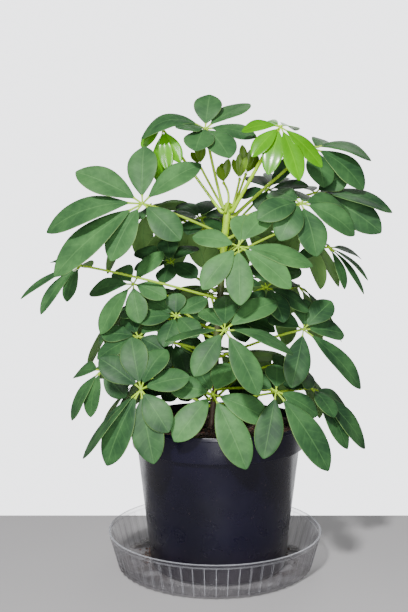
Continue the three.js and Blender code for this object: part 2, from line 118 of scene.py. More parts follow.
def ownCopy(piece):
    copy = piece.copy()
    copy.data = piece.data.copy()
    bpy.context.collection.objects.link(copy)
    return copy


def readPoints(piece):
    flat = np.empty(len(piece.data.vertices) * 3)
    piece.data.vertices.foreach_get("co", flat)
    return flat.reshape(-1, 3)


def writePoints(piece, points):
    piece.data.vertices.foreach_set("co", np.ascontiguousarray(points).ravel())
    piece.data.update()


# A round piece drawn ring by ring: each ring is the one before, extruded and resized
def turnedPiece(name, rings, sides, centreX=0):
    deselectAll()
    radius, height = rings[0]
    place = (centreX * mm, 0, height * mm)
    bpy.ops.mesh.primitive_circle_add(vertices=sides, radius=radius * mm, location=place)
    piece = bpy.context.object
    piece.name = name
    applyPlace(piece)
    bpy.ops.object.mode_set(mode="EDIT")
    bpy.ops.mesh.select_mode(type="EDGE")
    bpy.ops.mesh.select_all(action="SELECT")
    for (oldRadius, oldHeight), (radius, height) in zip(rings, rings[1:]):
        bpy.ops.mesh.extrude_region_move(
            TRANSFORM_OT_translate={"value": (0, 0, (height - oldHeight) * mm)}
        )
        bpy.ops.transform.resize(
            value=(radius / oldRadius, radius / oldRadius, 1),
            center_override=(centreX * mm, 0, height * mm),
        )
    # the first and the last ring close to a point
    bpy.ops.mesh.select_mode(type="VERT")
    bpy.ops.mesh.select_all(action="DESELECT")
    bpy.ops.mesh.select_non_manifold()
    bpy.ops.mesh.merge(type="COLLAPSE")
    bpy.ops.mesh.select_all(action="SELECT")
    bpy.ops.mesh.normals_make_consistent(inside=False)
    objectMode()
    return piece


# Small helpers for materials

# A wrapped socket, so that shader maths reads as plain sums
class Value:
    def __init__(self, finish, socket):
        self.finish = finish
        self.socket = socket

    def maths(self, operation, *others, swapped=False):
        values = [self, *others]
        if swapped:
            values.reverse()
        return self.finish.node("ShaderNodeMath", {"operation": operation}, dict(enumerate(values)))

    def __add__(self, other):
        return self.maths("ADD", other)

    def __sub__(self, other):
        return self.maths("SUBTRACT", other)

    def __rsub__(self, other):
        return self.maths("SUBTRACT", other, swapped=True)

    def __mul__(self, other):
        return self.maths("MULTIPLY", other)

    def __pow__(self, other):
        return self.maths("POWER", other)

    # 0 below low, 1 above high
    def ramp(self, low, high):
        sockets = {"Value": self, "From Min": low, "From Max": high}
        return self.finish.node("ShaderNodeMapRange", {"interpolation_type": "SMOOTHSTEP"}, sockets)


# The nodes of a material or of the sky
class Finish:
    def __init__(self, owner):
        owner.use_nodes = True
        self.owner = owner
        self.tree = owner.node_tree
        self.tree.nodes.clear()

    def node(self, kind, settings=None, sockets=None, out=0):
        made = self.tree.nodes.new(kind)
        for key, value in (settings or {}).items():
            setattr(made, key, value)
        for key, value in (sockets or {}).items():
            if isinstance(value, Value):
                self.tree.links.new(value.socket, made.inputs[key])
            else:
                made.inputs[key].default_value = value
        return Value(self, made.outputs[out]) if made.outputs else None

    def coords(self):
        return self.node("ShaderNodeTexCoord", out="Object")

    def split(self, vector):
        first = self.node("ShaderNodeSeparateXYZ", sockets={0: vector})
        outputs = first.socket.node.outputs
        return [Value(self, outputs[i]) for i in range(3)]

    def grain(self, scale, detail=2.0, roughness=0.5, vector=None):
        sockets = {"Scale": scale, "Detail": detail, "Roughness": roughness}
        sockets["Vector"] = vector or self.coords()
        return self.node("ShaderNodeTexNoise", {"noise_dimensions": "3D"}, sockets)

    def mix(self, share, first, second):
        return self.node("ShaderNodeMix", {"data_type": "RGBA"}, {0: share, 6: first, 7: second}, out=2)

    def bump(self, height, strength, distance):
        sockets = {"Height": height, "Strength": strength, "Distance": distance * mm}
        return self.node("ShaderNodeBump", sockets=sockets)

    def done(self, **sockets):
        named = {key.replace("_", " "): value for key, value in sockets.items()}
        shader = self.node("ShaderNodeBsdfPrincipled", sockets=named)
        self.node("ShaderNodeOutputMaterial", sockets={"Surface": shader})
        return self.owner


def newFinish(name):
    return Finish(bpy.data.materials.new(name))


def rgb(red, green, blue):
    # screen values from 0 to 255, as linear light
    linear = [((v / 255 + 0.055) / 1.055) ** 2.4 if v > 10 else v / 255 / 12.92 for v in (red, green, blue)]
    return (*linear, 1.0)


def dress(piece, material):
    piece.data.materials.clear()
    piece.data.materials.append(material)


# Camera, at the height of the leaves and looking a little down
camera = {"place": (-12.2, -1014.15, 380.3), "pitch": 5.24, "lens": 54.86}
bpy.ops.object.camera_add(
    location=[v * mm for v in camera["place"]],
    rotation=(math.radians(90 - camera["pitch"]), 0, 0),
)
viewer = bpy.context.object
viewer.data.lens = camera["lens"]
viewer.data.sensor_width = 36
bpy.context.scene.camera = viewer

# Lights: one high over the camera, a tall strip at the camera's height, one from each side of the plant and
# one from behind it, all aimed at its middle
lamps = {
    "key": {"place": (-0.32, -1.25, 1.3), "size": (0.14, 0.14), "power": 55},
    "strip": {"place": (-0.03, -1.5, 0.35), "size": (0.1, 0.9), "power": 26},
    "left": {"place": (-1.6, 0.1, 0.8), "size": (0.9, 0.9), "power": 2.5},
    "right": {"place": (1.6, 0.1, 0.8), "size": (0.9, 0.9), "power": 1.3},
    "rear": {"place": (0.4, 1.4, 1.3), "size": (1.0, 1.0), "power": 10},
}
plantMiddle = Vector((0, 0, 0.28))
for name, lamp in lamps.items():
    place = Vector(lamp["place"])
    aim = (plantMiddle - place).to_track_quat("-Z", "Y").to_euler()
    bpy.ops.object.light_add(type="AREA", location=place, rotation=aim)
    light = bpy.context.object
    light.name = name + "_lamp"
    light.data.shape = "RECTANGLE"
    light.data.energy = lamp["power"]
    light.data.size, light.data.size_y = lamp["size"]

# The sky gives little light, but shows as a white backdrop, also in what the pot and the saucer reflect
# from low down behind them. Its strengths are as a light, to the camera and in reflections, and the ramps
# are of the directions that are mirrored.
backdrop = {
    "tone": rgb(238, 239, 242),
    "light": 0.22,
    "seen": 3.4,
    "mirrored": 2.0,
    "behind": (0.3, 0.8),
    "low": (-0.16, -0.04),
}
sky = Finish(bpy.data.worlds.new("sky"))
bpy.context.scene.world = sky.owner
seen = sky.node("ShaderNodeLightPath", out="Is Camera Ray")
mirrored = sky.node("ShaderNodeLightPath", out="Is Glossy Ray")
back, up = sky.split(sky.node("ShaderNodeTexCoord", out="Generated"))[1:]
lowBehind = back.ramp(*backdrop["behind"]) * (1 - up.ramp(*backdrop["low"]))
strength = seen * backdrop["seen"] + mirrored * lowBehind * backdrop["mirrored"] + backdrop["light"]
background = sky.node("ShaderNodeBackground", sockets={"Color": backdrop["tone"], "Strength": strength})
sky.node("ShaderNodeOutputWorld", sockets={"Surface": background})

# Floor, a panel that ends a little way behind the plant
panel = {
    "middle": (0, -0.24, -0.0004),
    "size": (1.6, 0.81, 1),
    "dark": rgb(151, 149, 150),
    "light": rgb(161, 159, 160),
    "clouds": 3.0,
    "roughness": 0.6,
}
deselectAll()
bpy.ops.mesh.primitive_plane_add(size=1, location=panel["middle"])
floor = bpy.context.object
floor.name = "floor"
bpy.ops.transform.resize(value=panel["size"])
applyPlace(floor)
floorFinish = newFinish("paleFloor")
floorTone = floorFinish.mix(floorFinish.grain(panel["clouds"]), panel["dark"], panel["light"])
dress(floor, floorFinish.done(Base_Color=floorTone, Roughness=panel["roughness"]))
print("camera, lamps and floor set")


# Finishes. Of their settings, a grain is the scale of a noise, and a pair is where a ramp starts and ends:
# heights and places in metres, or the share of a leaflet's half width.

plasticLooks = {
    "dark": rgb(5, 5, 16),
    "light": rgb(10, 9, 26),
    "dust": rgb(62, 50, 48),
    "roughness": 0.25,
    "specular": 0.24,
    "relief": 0.03,
    "dustTop": (0.0, 0.05),
    "cloudGrain": 14.0,
    "speckGrain": 420.0,
    "scuffGrain": 60.0,
    "streakGrain": 50.0,
    "poreGrain": 900.0,
}


def darkPlastic(looks):
    finish = newFinish("darkPlastic")
    z = finish.split(finish.coords())[2]
    cloud = finish.grain(looks["cloudGrain"], detail=3.0)
    colour = finish.mix(cloud.ramp(0.3, 0.7), looks["dark"], looks["light"])
    # dust lies low on the pot and in a few specks of soil
    low = 1 - z.ramp(*looks["dustTop"])
    specks = finish.grain(looks["speckGrain"], detail=1.0).ramp(0.73, 0.76)
    dust = (low * 0.25 + 0.02) * cloud + specks * (low * 0.6 + 0.25)
    colour = finish.mix(dust, colour, looks["dust"])
    scuffs = finish.grain(looks["scuffGrain"], detail=4.0).ramp(0.35, 0.8)
    stretched = finish.node(
        "ShaderNodeMapping", {"vector_type": "POINT"},
        {"Vector": finish.coords(), "Scale": (1.0, 1.0, 6.0)},
    )
    streaks = finish.grain(looks["streakGrain"], detail=3.0, vector=stretched)
    skin = finish.bump(streaks * 0.5 + finish.grain(looks["poreGrain"]) * 0.2, looks["relief"], 0.3)
    return finish.done(
        Base_Color=colour,
        Roughness=scuffs * 0.12 + looks["roughness"] + dust * 0.3,
        Specular_IOR_Level=looks["specular"],
        Normal=skin,
    )


clearLooks = {
    "smoke": rgb(94, 92, 96),
    # soil stains on the saucer's floor, darkened further as painted shade
    "soilAndShadeTone": rgb(52, 42, 36),
    # the tone of the painted highlights
    "paintedHighlight": rgb(190, 193, 200),
    # how opaque it is, seen square on and edge on, and how strongly the painted highlights on the ridges
    # and the lip show
    "face": 0.075,
    "edge": 0.75,
    "ridge": 0.34,
    "lip": 0.32,
    "flutes": 60,
    "roughness": 0.06,
    "specular": 0.45,
    "coat": 0.12,
    "coatRoughness": 0.05,
    "hazeGrain": 30.0,
    "soilAndShadeGrain": 46.0,
    "wallFoot": (0.0015, 0.004),
    "ridgeTop": (0.0345, 0.0352),
    "bandFoot": (0.0352, 0.0355),
    "bandLine": (0.0358, 0.0364),
    "rim": (0.0391, 0.0396),
    "soilAndShadeTop": (0.0017, 0.003),
    "soilAndShadeFront": (-0.08, -0.03),
}


def clearPlastic(looks):
    finish = newFinish("clearPlastic")
    glance = finish.node("ShaderNodeLayerWeight", sockets={"Blend": 0.4}, out="Facing")
    x, y, z = finish.split(finish.coords())
    wall = z.ramp(*looks["wallFoot"])
    lip = z.ramp(*looks["rim"]) + z.ramp(*looks["bandFoot"]) * (1 - z.ramp(*looks["bandLine"]))
    haze = finish.grain(looks["hazeGrain"], detail=3.0).ramp(0.35, 0.75)
    # painted highlights: the ridges of the flutes, the lip and the foot of the band are painted brighter
    # and more opaque, as if light gathered there
    turn = x.maths("ARCTAN2", 0.0 - y) * looks["flutes"]
    ridge = (turn.maths("COSINE") * 0.5 + 0.5) ** 120.0 * wall * (1 - z.ramp(*looks["ridgeTop"]))
    paintedShine = (ridge * looks["ridge"]).maths("MAXIMUM", lip * looks["lip"])
    # the floor of the saucer is stained by the soil, but not at the front, and this darkening is partly
    # painted shade of the pot
    low = (1 - z.ramp(*looks["soilAndShadeTop"])) * y.ramp(*looks["soilAndShadeFront"])
    soilAndShadeMask = finish.grain(looks["soilAndShadeGrain"], detail=4.0).ramp(0.36, 0.62) * low
    alpha = glance ** 2.0 * (looks["edge"] - looks["face"]) + looks["face"]
    tone = finish.mix(soilAndShadeMask, looks["smoke"], looks["soilAndShadeTone"])
    return finish.done(
        Base_Color=finish.mix((paintedShine * 2.0).maths("MINIMUM", 1.0), tone, looks["paintedHighlight"]),
        Roughness=haze * 0.08 + soilAndShadeMask * 0.3 + looks["roughness"],
        Alpha=(alpha + paintedShine * 0.8 + haze * 0.06 + soilAndShadeMask * 0.36).maths("MINIMUM", 1.0),
        Specular_IOR_Level=looks["specular"],
        Coat_Weight=looks["coat"],
        Coat_Roughness=looks["coatRoughness"],
    )


soilLooks = {
    "dark": rgb(22, 14, 11),
    "brown": rgb(58, 38, 28),
    "red": rgb(82, 48, 34),
    "pale": rgb(120, 104, 86),
    "roughness": 0.78,
    "relief": 0.8,
    "lumpGrain": 180.0,
    "bitGrain": 320.0,
}


def pottingMix(looks):
    finish = newFinish("pottingMix")
    lumps = finish.grain(looks["lumpGrain"], detail=5.0, roughness=0.65)
    bits = finish.node("ShaderNodeTexVoronoi", {"feature": "F1"}, {
        "Vector": finish.coords(), "Scale": looks["bitGrain"], "Randomness": 1.0,
    }, out="Color")
    redness, paleness, rise = finish.split(bits)
    colour = finish.mix(lumps.ramp(0.35, 0.7), looks["dark"], looks["brown"])
    colour = finish.mix(redness.ramp(0.72, 0.8) * 0.7, colour, looks["red"])
    colour = finish.mix(paleness.ramp(0.93, 0.96) * 0.6, colour, looks["pale"])
    rough = finish.bump(lumps + rise * 0.5, looks["relief"], 1.2)
    return finish.done(Base_Color=colour, Roughness=lumps * 0.2 + looks["roughness"], Normal=rough)


barkLooks = {
    "foot": rgb(74, 56, 44),
    "middle": rgb(70, 82, 38),
    "blotch": rgb(48, 40, 28),
    "tip": rgb(134, 172, 0),
    "roughness": 0.5,
    "relief": 0.35,
    "blotchGrain": 90.0,
    "fleckGrain": 520.0,
    "middleFrom": (0.17, 0.26),
    "tipFrom": (0.3, 0.365),
}


def bark(looks):
    finish = newFinish("bark")
    z = finish.split(finish.coords())[2]
    blotches = finish.grain(looks["blotchGrain"], detail=4.0).ramp(0.4, 0.65)
    flecks = finish.grain(looks["fleckGrain"], detail=2.0).ramp(0.6, 0.68)
    colour = finish.mix(z.ramp(*looks["middleFrom"]), looks["foot"], looks["middle"])
    colour = finish.mix(blotches * 0.6, colour, looks["blotch"])
    colour = finish.mix(z.ramp(*looks["tipFrom"]), colour, looks["tip"])
    colour = finish.mix(flecks * 0.35, colour, looks["foot"])
    skin = finish.bump(blotches + flecks * 0.6, looks["relief"], 0.5)
    return finish.done(Base_Color=colour, Roughness=blotches * 0.2 + looks["roughness"], Normal=skin)


# Leaves read leafMap, where x runs from the foot of a leaflet to its tip and y across it, and tint, where
# red marks an underside, green a stalk, and blue how light the leaflet's green is, partly painted shade
grownLooks = {
    "deep": rgb(26, 52, 30),
    "fresh": rgb(68, 111, 60),
    "vein": rgb(86, 132, 72),
    "rib": rgb(84, 128, 70),
    "under": rgb(108, 146, 78),
    "stalk": rgb(138, 172, 42),
    "edge": rgb(150, 176, 104),
    "roughness": 0.5,
    "specular": 0.15,
    "coat": 0.02,
    "coatRoughness": 0.3,
    "relief": 0.3,
}
# leaves deep in the crown, which lie in shade: their greens and stalks are darker, as painted shade
shadedInnerLooks = {
    **grownLooks,
    "deep": rgb(17, 38, 20),
    "fresh": rgb(44, 78, 40),
    "vein": rgb(62, 98, 52),
    "rib": rgb(60, 96, 50),
    "under": rgb(84, 116, 56),
    "stalk": rgb(88, 118, 30),
    "edge": rgb(104, 130, 70),
    "specular": 0.12,
}
limeLooks = {
    "deep": rgb(50, 104, 0),
    "fresh": rgb(76, 142, 0),
    "vein": rgb(104, 170, 0),
    "rib": rgb(116, 180, 4),
    "under": rgb(96, 156, 0),
    "stalk": rgb(146, 186, 24),
    "edge": rgb(150, 204, 40),
    "roughness": 0.4,
    "specular": 0.08,
    "coat": 0.5,
    "coatRoughness": 0.2,
    "relief": 0.04,
}
# the folded leaves of the shoot tip, duller than the lime ones
budLooks = {
    "deep": rgb(62, 92, 12),
    "fresh": rgb(92, 126, 22),
    "vein": rgb(112, 148, 36),
    "rib": rgb(122, 158, 40),
    "under": rgb(104, 138, 34),
    "stalk": rgb(140, 172, 36),
    "edge": rgb(140, 166, 62),
    "roughness": 0.45,
    "specular": 0.12,
    "coat": 0.1,
    "coatRoughness": 0.3,
    "relief": 0.1,
}
# what all leaflets share: side veins along each, how they lean, and how strongly each marking shows
markings = {
    "veins": 8.0,
    "veinLean": 1.3,
    "vein": 0.07,
    "rib": 0.26,
    "edge": 0.5,
    "mottle": 0.18,
    "ribSide": (0.01, 0.065),
    "edgeSide": (0.93, 0.99),
    "cloudGrain": 38.0,
    "mottleGrain": 210.0,
}


def leafSkin(name, looks):
    finish = newFinish(name)
    along, across = finish.split(finish.node("ShaderNodeUVMap", {"uv_map": "leafMap"}))[:2]
    tint = finish.node("ShaderNodeAttribute", {"attribute_name": "tint"}, out="Vector")
    under, stalk, toneAndShade = finish.split(tint)
    side = (across - 0.5).maths("ABSOLUTE") * 2
    cloud = finish.grain(markings["cloudGrain"], detail=3.0)
    mottle = finish.grain(markings["mottleGrain"], detail=3.0)
    # side veins lean towards the tip and fade at the edge
    wave = (along * markings["veins"] - side * markings["veinLean"]) * (2 * math.pi)
    vein = (wave.maths("COSINE") * 0.5 + 0.5) ** 14.0 * (1 - side.ramp(0.55, 0.95))
    rib = 1 - side.ramp(*markings["ribSide"])
    edge = side.ramp(*markings["edgeSide"])
    # the top's green runs from deep to fresh with a noise and the tint's blue, which is partly painted
    # shade
    top = finish.mix(cloud.ramp(0.25, 0.75) * 0.55 + toneAndShade * 0.6 - 0.1, looks["deep"], looks["fresh"])
    top = finish.mix(mottle.ramp(0.4, 0.7) * markings["mottle"], top, looks["deep"])
    top = finish.mix(vein * markings["vein"], top, looks["vein"])
    top = finish.mix(rib * markings["rib"], top, looks["rib"])
    top = finish.mix(edge * markings["edge"], top, looks["edge"])
    below = finish.mix(cloud * 0.4, looks["under"], looks["fresh"])
    below = finish.mix(rib * 0.6 + vein * 0.3, below, looks["rib"])
    colour = finish.mix(under, top, below)
    colour = finish.mix(stalk.ramp(0.2, 0.9), colour, looks["stalk"])
    relief = finish.bump(vein * 0.25 - rib * 0.6 + cloud * 1.0 + mottle * 0.15, looks["relief"], 0.6)
    return finish.done(
        Base_Color=colour,
        Roughness=mottle * 0.1 + under * 0.2 + looks["roughness"],
        Coat_Weight=looks["coat"],
        Coat_Roughness=looks["coatRoughness"],
        Specular_IOR_Level=looks["specular"],
        Normal=relief,
    )


finishes = {
    "pot": darkPlastic(plasticLooks),
    "saucer": clearPlastic(clearLooks),
    "soil": pottingMix(soilLooks),
    "stem": bark(barkLooks),
    "grown": leafSkin("grownLeaf", grownLooks),
    "inner": leafSkin("innerLeafPaintedShade", shadedInnerLooks),
    "lime": leafSkin("youngLeaf", limeLooks),
    "bud": leafSkin("budLeaf", budLooks),
}
print("finishes made")


# Saucer

saucer = {
    "footRadius": 106.5,
    "rimRadius": 117.5,
    "height": 40,
    "band": 4.5,
    "wall": 1.8,
    "floor": 1.6,
    "flutes": clearLooks["flutes"],
    "fluteDepth": 0.8,
    "innerDepth": 0.35,
    "innerFrom": 3,
    "sharpness": 2.5,
    "stepsPerFlute": 8,
}


def makeSaucer():
    top = saucer["height"]
    lean = (saucer["rimRadius"] - saucer["footRadius"]) / top

    def skin(z):
        return saucer["footRadius"] + lean * z

    lipFoot = top - saucer["band"]
    rings = [
        (2, 0),
        (60, 0),
        (saucer["footRadius"] - 4, 0),
        (saucer["footRadius"] - 2, 0.1),
        (skin(1) - 0.6, 0.9),
        (skin(2.2), 2.2),
        (skin(12), 12),
        (skin(24), 24),
        (skin(lipFoot - 2.4), lipFoot - 2.4),
        (skin(lipFoot - 1), lipFoot - 1),
        (skin(lipFoot) + 0.5, lipFoot),
        (skin(lipFoot) + 0.7, lipFoot + 0.4),
        (skin(top) + 0.55, top - 0.5),
        (skin(top) + 0.1, top),
        (skin(top) - saucer["wall"] + 0.4, top),
        (skin(top) - saucer["wall"], top - 0.5),
        (skin(lipFoot) - saucer["wall"], lipFoot),
        (skin(12) - saucer["wall"] - 0.2, 12),
        (skin(4) - saucer["wall"] - 0.5, 4),
        (skin(2) - saucer["wall"] - 2, 2.1),
        (skin(1.6) - saucer["wall"] - 5, saucer["floor"]),
        (60, saucer["floor"]),
        (2, saucer["floor"]),
    ]
    piece = turnedPiece("clear_saucer", rings, saucer["flutes"] * saucer["stepsPerFlute"])
    # flutes: narrow ridges stand out of the wall under the plain band
    points = readPoints(piece)
    radius = np.hypot(points[:, 0], points[:, 1])
    height = points[:, 2] / mm
    turn = np.arctan2(points[:, 0], -points[:, 1])
    ridge = (0.5 + 0.5 * np.cos(saucer["flutes"] * turn)) ** saucer["sharpness"]
    underBand = height < lipFoot - 0.5
    outer = underBand & (radius / mm > skin(height) - saucer["wall"] * 0.6)
    inner = underBand & (height > saucer["innerFrom"]) & ~outer
    depth = np.where(outer, saucer["fluteDepth"], 0) + np.where(inner, saucer["innerDepth"], 0)
    swell = depth * (2 * ridge - 1) * mm
    points[:, :2] *= (1 + swell / np.maximum(radius, mm))[:, None]
    writePoints(piece, points)
    smooth(piece, 50)
    dress(piece, finishes["saucer"])
    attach(piece, "root")
    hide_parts("saucer")


makeSaucer()
print("saucer made")


# Pot

pot = {
    "x": 3.6,
    "footRadius": 74.3,
    "bodyRadius": 89.5,
    "rimRadius": 95.8,
    "top": 162.5,
    "band": 27.5,
    "wall": 1.8,
    "floor": 2.2,
    "footHeight": 3,
    "foot": 1.9,
    "holes": 8,
    "holeRadius": 5,
    "holeSides": 24,
    "holeCircle": 48,
    "plugLength": 12,
    "sides": 128,
}
bandFoot = pot["top"] - pot["band"]


def potRadius(z):
    share = (z - pot["foot"]) / (bandFoot - pot["foot"])
    return pot["footRadius"] + (pot["bodyRadius"] - pot["footRadius"]) * share


def makePot():
    under = pot["foot"] + pot["footHeight"]
    floorTop = under + pot["floor"]
    foot, rim, top, wall = pot["footRadius"], pot["rimRadius"], pot["top"], pot["wall"]
    rings = [
        (2, under),
        (30, under),
        (foot - 9, under),
        (foot - 8, under - 0.3),
        (foot - 6.4, pot["foot"] + 0.5),
        (foot - 6, pot["foot"]),
        (foot - 1.5, pot["foot"]),
        (foot - 0.7, pot["foot"] + 0.4),
        (potRadius(pot["foot"] + 2), pot["foot"] + 2),
        (potRadius(45), 45),
        (potRadius(90), 90),
        (potRadius(bandFoot - 1.6), bandFoot - 1.6),
        (potRadius(bandFoot - 0.4) + 0.5, bandFoot - 0.3),
        (rim - 2.4, bandFoot),
        (rim - 1.4, bandFoot + 0.4),
        (rim - 1.1, bandFoot + 1.6),
        (rim - 0.8, bandFoot + 10),
        (rim - 0.5, top - 4.2),
        (rim, top - 3.6),
        (rim, top - 1),
        (rim - 0.5, top - 0.1),
        (rim - 1.2, top),
        (rim - wall - 0.2, top),
        (rim - wall - 0.6, top - 0.8),
        (rim - wall - 1.4, bandFoot + 4),
        (potRadius(bandFoot) - wall, bandFoot),
        (potRadius(45) - wall, 45),
        (potRadius(floorTop + 1) - wall, floorTop + 1),
        (potRadius(floorTop) - wall - 1.5, floorTop),
        (30, floorTop),
        (2, floorTop),
    ]
    piece = turnedPiece("nursery_pot", rings, pot["sides"], pot["x"])
    # drain holes through the floor
    plugs = []
    for i in range(pot["holes"]):
        turn = (i + 0.5) / pot["holes"] * 2 * math.pi
        deselectAll()
        bpy.ops.mesh.primitive_cylinder_add(
            vertices=pot["holeSides"], radius=pot["holeRadius"] * mm, depth=pot["plugLength"] * mm,
            location=((pot["x"] + pot["holeCircle"] * math.cos(turn)) * mm,
                      pot["holeCircle"] * math.sin(turn) * mm, floorTop * mm),
        )
        plugs.append(bpy.context.object)
        applyPlace(plugs[-1])
    cutter = joined("plugs", plugs)
    applyModifier(piece, "BOOLEAN", operation="DIFFERENCE", object=cutter, solver="EXACT")
    bpy.data.objects.remove(cutter)
    smooth(piece, 35)
    dress(piece, finishes["pot"])
    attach(piece, "root")
    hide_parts("pot")


makePot()
print("pot made")


# Soil, with loose crumbs on it and a few spilt ones in the saucer

soil = {
    "top": 153,
    "swell": 0.6,
    "sides": 112,
    "rings": 34,
    "lumps": 1.76,
    "lumpsEvery": 0.045,
    "grit": 1.1,
    "gritPerLump": 5.0,
}
grains = {
    "count": 520,
    "reach": 86,
    "sizes": (0.7, 2.4),
    "spilt": 84,
    "spiltSizes": (0.6, 2.0),
    "spiltFrom": 77,
    "spiltTo": 98,
    "spiltSpread": 6,
    # at which turns the spilt ones gather round the foot of the pot: right and left
    "heaps": (0.42, math.pi - 0.42, math.pi - 0.2),
    "heapSpread": 0.22,
    "squash": ((0.7, 1.3), (0.7, 1.3), (0.5, 0.9)),
}


def soilHeight(x, y):
    place = Vector((x * soil["lumpsEvery"], y * soil["lumpsEvery"], 0.4))
    lump = noise.noise(place)
    grit = noise.noise(place * soil["gritPerLump"])
    return soil["top"] + soil["swell"] + soil["lumps"] * lump + soil["grit"] * grit


def makeSoil():
    bottom = pot["foot"] + pot["footHeight"] + pot["floor"] + 0.3
    inset = pot["wall"] + 0.3
    wallTop = pot["rimRadius"] - pot["wall"] - 1.7
    rings = [
        (2, bottom),
        (40, bottom),
        (potRadius(bottom) - inset - 1.7, bottom),
        (potRadius(bottom + 2) - inset, bottom + 2),
        (potRadius(bandFoot) - inset, bandFoot),
        (wallTop, bandFoot + 4),
        (wallTop, soil["top"] - 2),
        (wallTop - 0.5, soil["top"] - 0.6),
    ]
    for i in range(soil["rings"]):
        rings.append((2 + (wallTop - 3) * (1 - (i + 0.5) / soil["rings"]), soil["top"]))
    piece = turnedPiece("potting_mix", rings, soil["sides"], pot["x"])
    points = readPoints(piece)
    for point in points:
        x, y, z = point / mm
        if z > soil["top"] - 0.7:
            point[2] = soilHeight(x, y) * mm
    writePoints(piece, points)
    smooth(piece)
    dress(piece, finishes["soil"])
    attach(piece, "root")
    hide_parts("soil")


def crumb(place, size):
    copy = ownCopy(crumbShape)
    points = readPoints(copy)
    squash = np.array([luck.uniform(*span) for span in grains["squash"]])
    turn = luck.uniform(0, 2 * math.pi)
    points *= squash * size * mm
    x = points[:, 0] * math.cos(turn) - points[:, 1] * math.sin(turn)
    y = points[:, 0] * math.sin(turn) + points[:, 1] * math.cos(turn)
    points[:, 0], points[:, 1] = x, y
    points += np.array(place) * mm
    writePoints(copy, points)
    return copy


makeSoil()
deselectAll()
bpy.ops.mesh.primitive_ico_sphere_add(subdivisions=1, radius=1)
crumbShape = bpy.context.object
editMode(crumbShape)
selectVerts(crumbShape, lambda vert: vert.co.x > 0.3)
bpy.ops.transform.resize(value=(1, 0.6, 0.8))
selectVerts(crumbShape, lambda vert: vert.co.y < -0.4)
bpy.ops.transform.translate(value=(0.1, 0.25, 0.1))
objectMode()

loose = []
for i in range(grains["count"]):
    turn = luck.uniform(0, 2 * math.pi)
    radius = grains["reach"] * math.sqrt(luck.random())
    size = luck.uniform(*grains["sizes"])
    x, y = pot["x"] + radius * math.cos(turn), radius * math.sin(turn)
    loose.append(crumb((x, y, soilHeight(x, y) + size * 0.25), size))
for i in range(grains["spilt"]):
    turn = luck.choice(grains["heaps"]) + luck.gauss(0, grains["heapSpread"])
    radius = min(grains["spiltFrom"] + abs(luck.gauss(0, grains["spiltSpread"])), grains["spiltTo"])
    size = luck.uniform(*grains["spiltSizes"])
    x, y = pot["x"] + radius * math.cos(turn), radius * math.sin(turn)
    loose.append(crumb((x, y, saucer["floor"] + size * 0.35), size))
crumbs = joined("soil_crumbs", loose)
bpy.data.objects.remove(crumbShape)
dress(crumbs, finishes["soil"])
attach(crumbs, "root")
print("soil and", len(loose), "crumbs made")


# Main stem

stem = {
    "points": [
        (-6, 2, 112), (-5, 1, 150), (1, -2, 205), (1, 0, 250), (5, 0, 293), (10, 0, 359), (14, 0, 398),
    ],
    "footRadius": 3.1,
    "tipRadius": 4.2,
    "inset": 0.1,
    "sides": 16,
    "ringEvery": 1.5,
    "scarEvery": 15.0,
    "scarSwell": 0.35,
    "smallScarsFrom": 380,
}


def stemAt(height):
    points = stem["points"]
    z = min(height, points[-1][2])
    above = next(i for i in range(1, len(points)) if points[i][2] >= z)
    low, high = Vector(points[above - 1]), Vector(points[above])
    return low.lerp(high, (z - low.z) / (high.z - low.z))


def stemRadius(z):
    foot, top = stem["points"][0][2], stem["points"][-1][2]
    return stem["footRadius"] + (stem["tipRadius"] - stem["footRadius"]) * (z - foot) / (top - foot)


def makeStem():
    foot, top = stem["points"][0][2], stem["points"][-1][2]
    rings = [(1.5, foot)]
    z = foot + 0.4
    while z < top:
        # old leaf scars stand out as low rings
        phase = (z / stem["scarEvery"]) % 1.0
        swell = stem["scarSwell"] * math.exp(-(((phase - 0.5) * 6) ** 2)) - stem["inset"]
        if z > stem["smallScarsFrom"]:
            swell *= 0.5
        rings.append((stemRadius(z) - stem["inset"] + swell, z))
        z += stem["ringEvery"]
    rings += [(stem["tipRadius"] - stem["inset"], top), (3.2, top + 1.4), (1.6, top + 2.3)]
    piece = turnedPiece("stem", rings, stem["sides"])
    points = readPoints(piece)
    for point in points:
        centre = stemAt(max(point[2] / mm, foot))
        point[0] += centre.x * mm
        point[1] += centre.y * mm
    writePoints(piece, points)
    smooth(piece)
    dress(piece, finishes["stem"])
    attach(piece, "root")
    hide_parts("main_stem")


makeStem()
print("stem made")
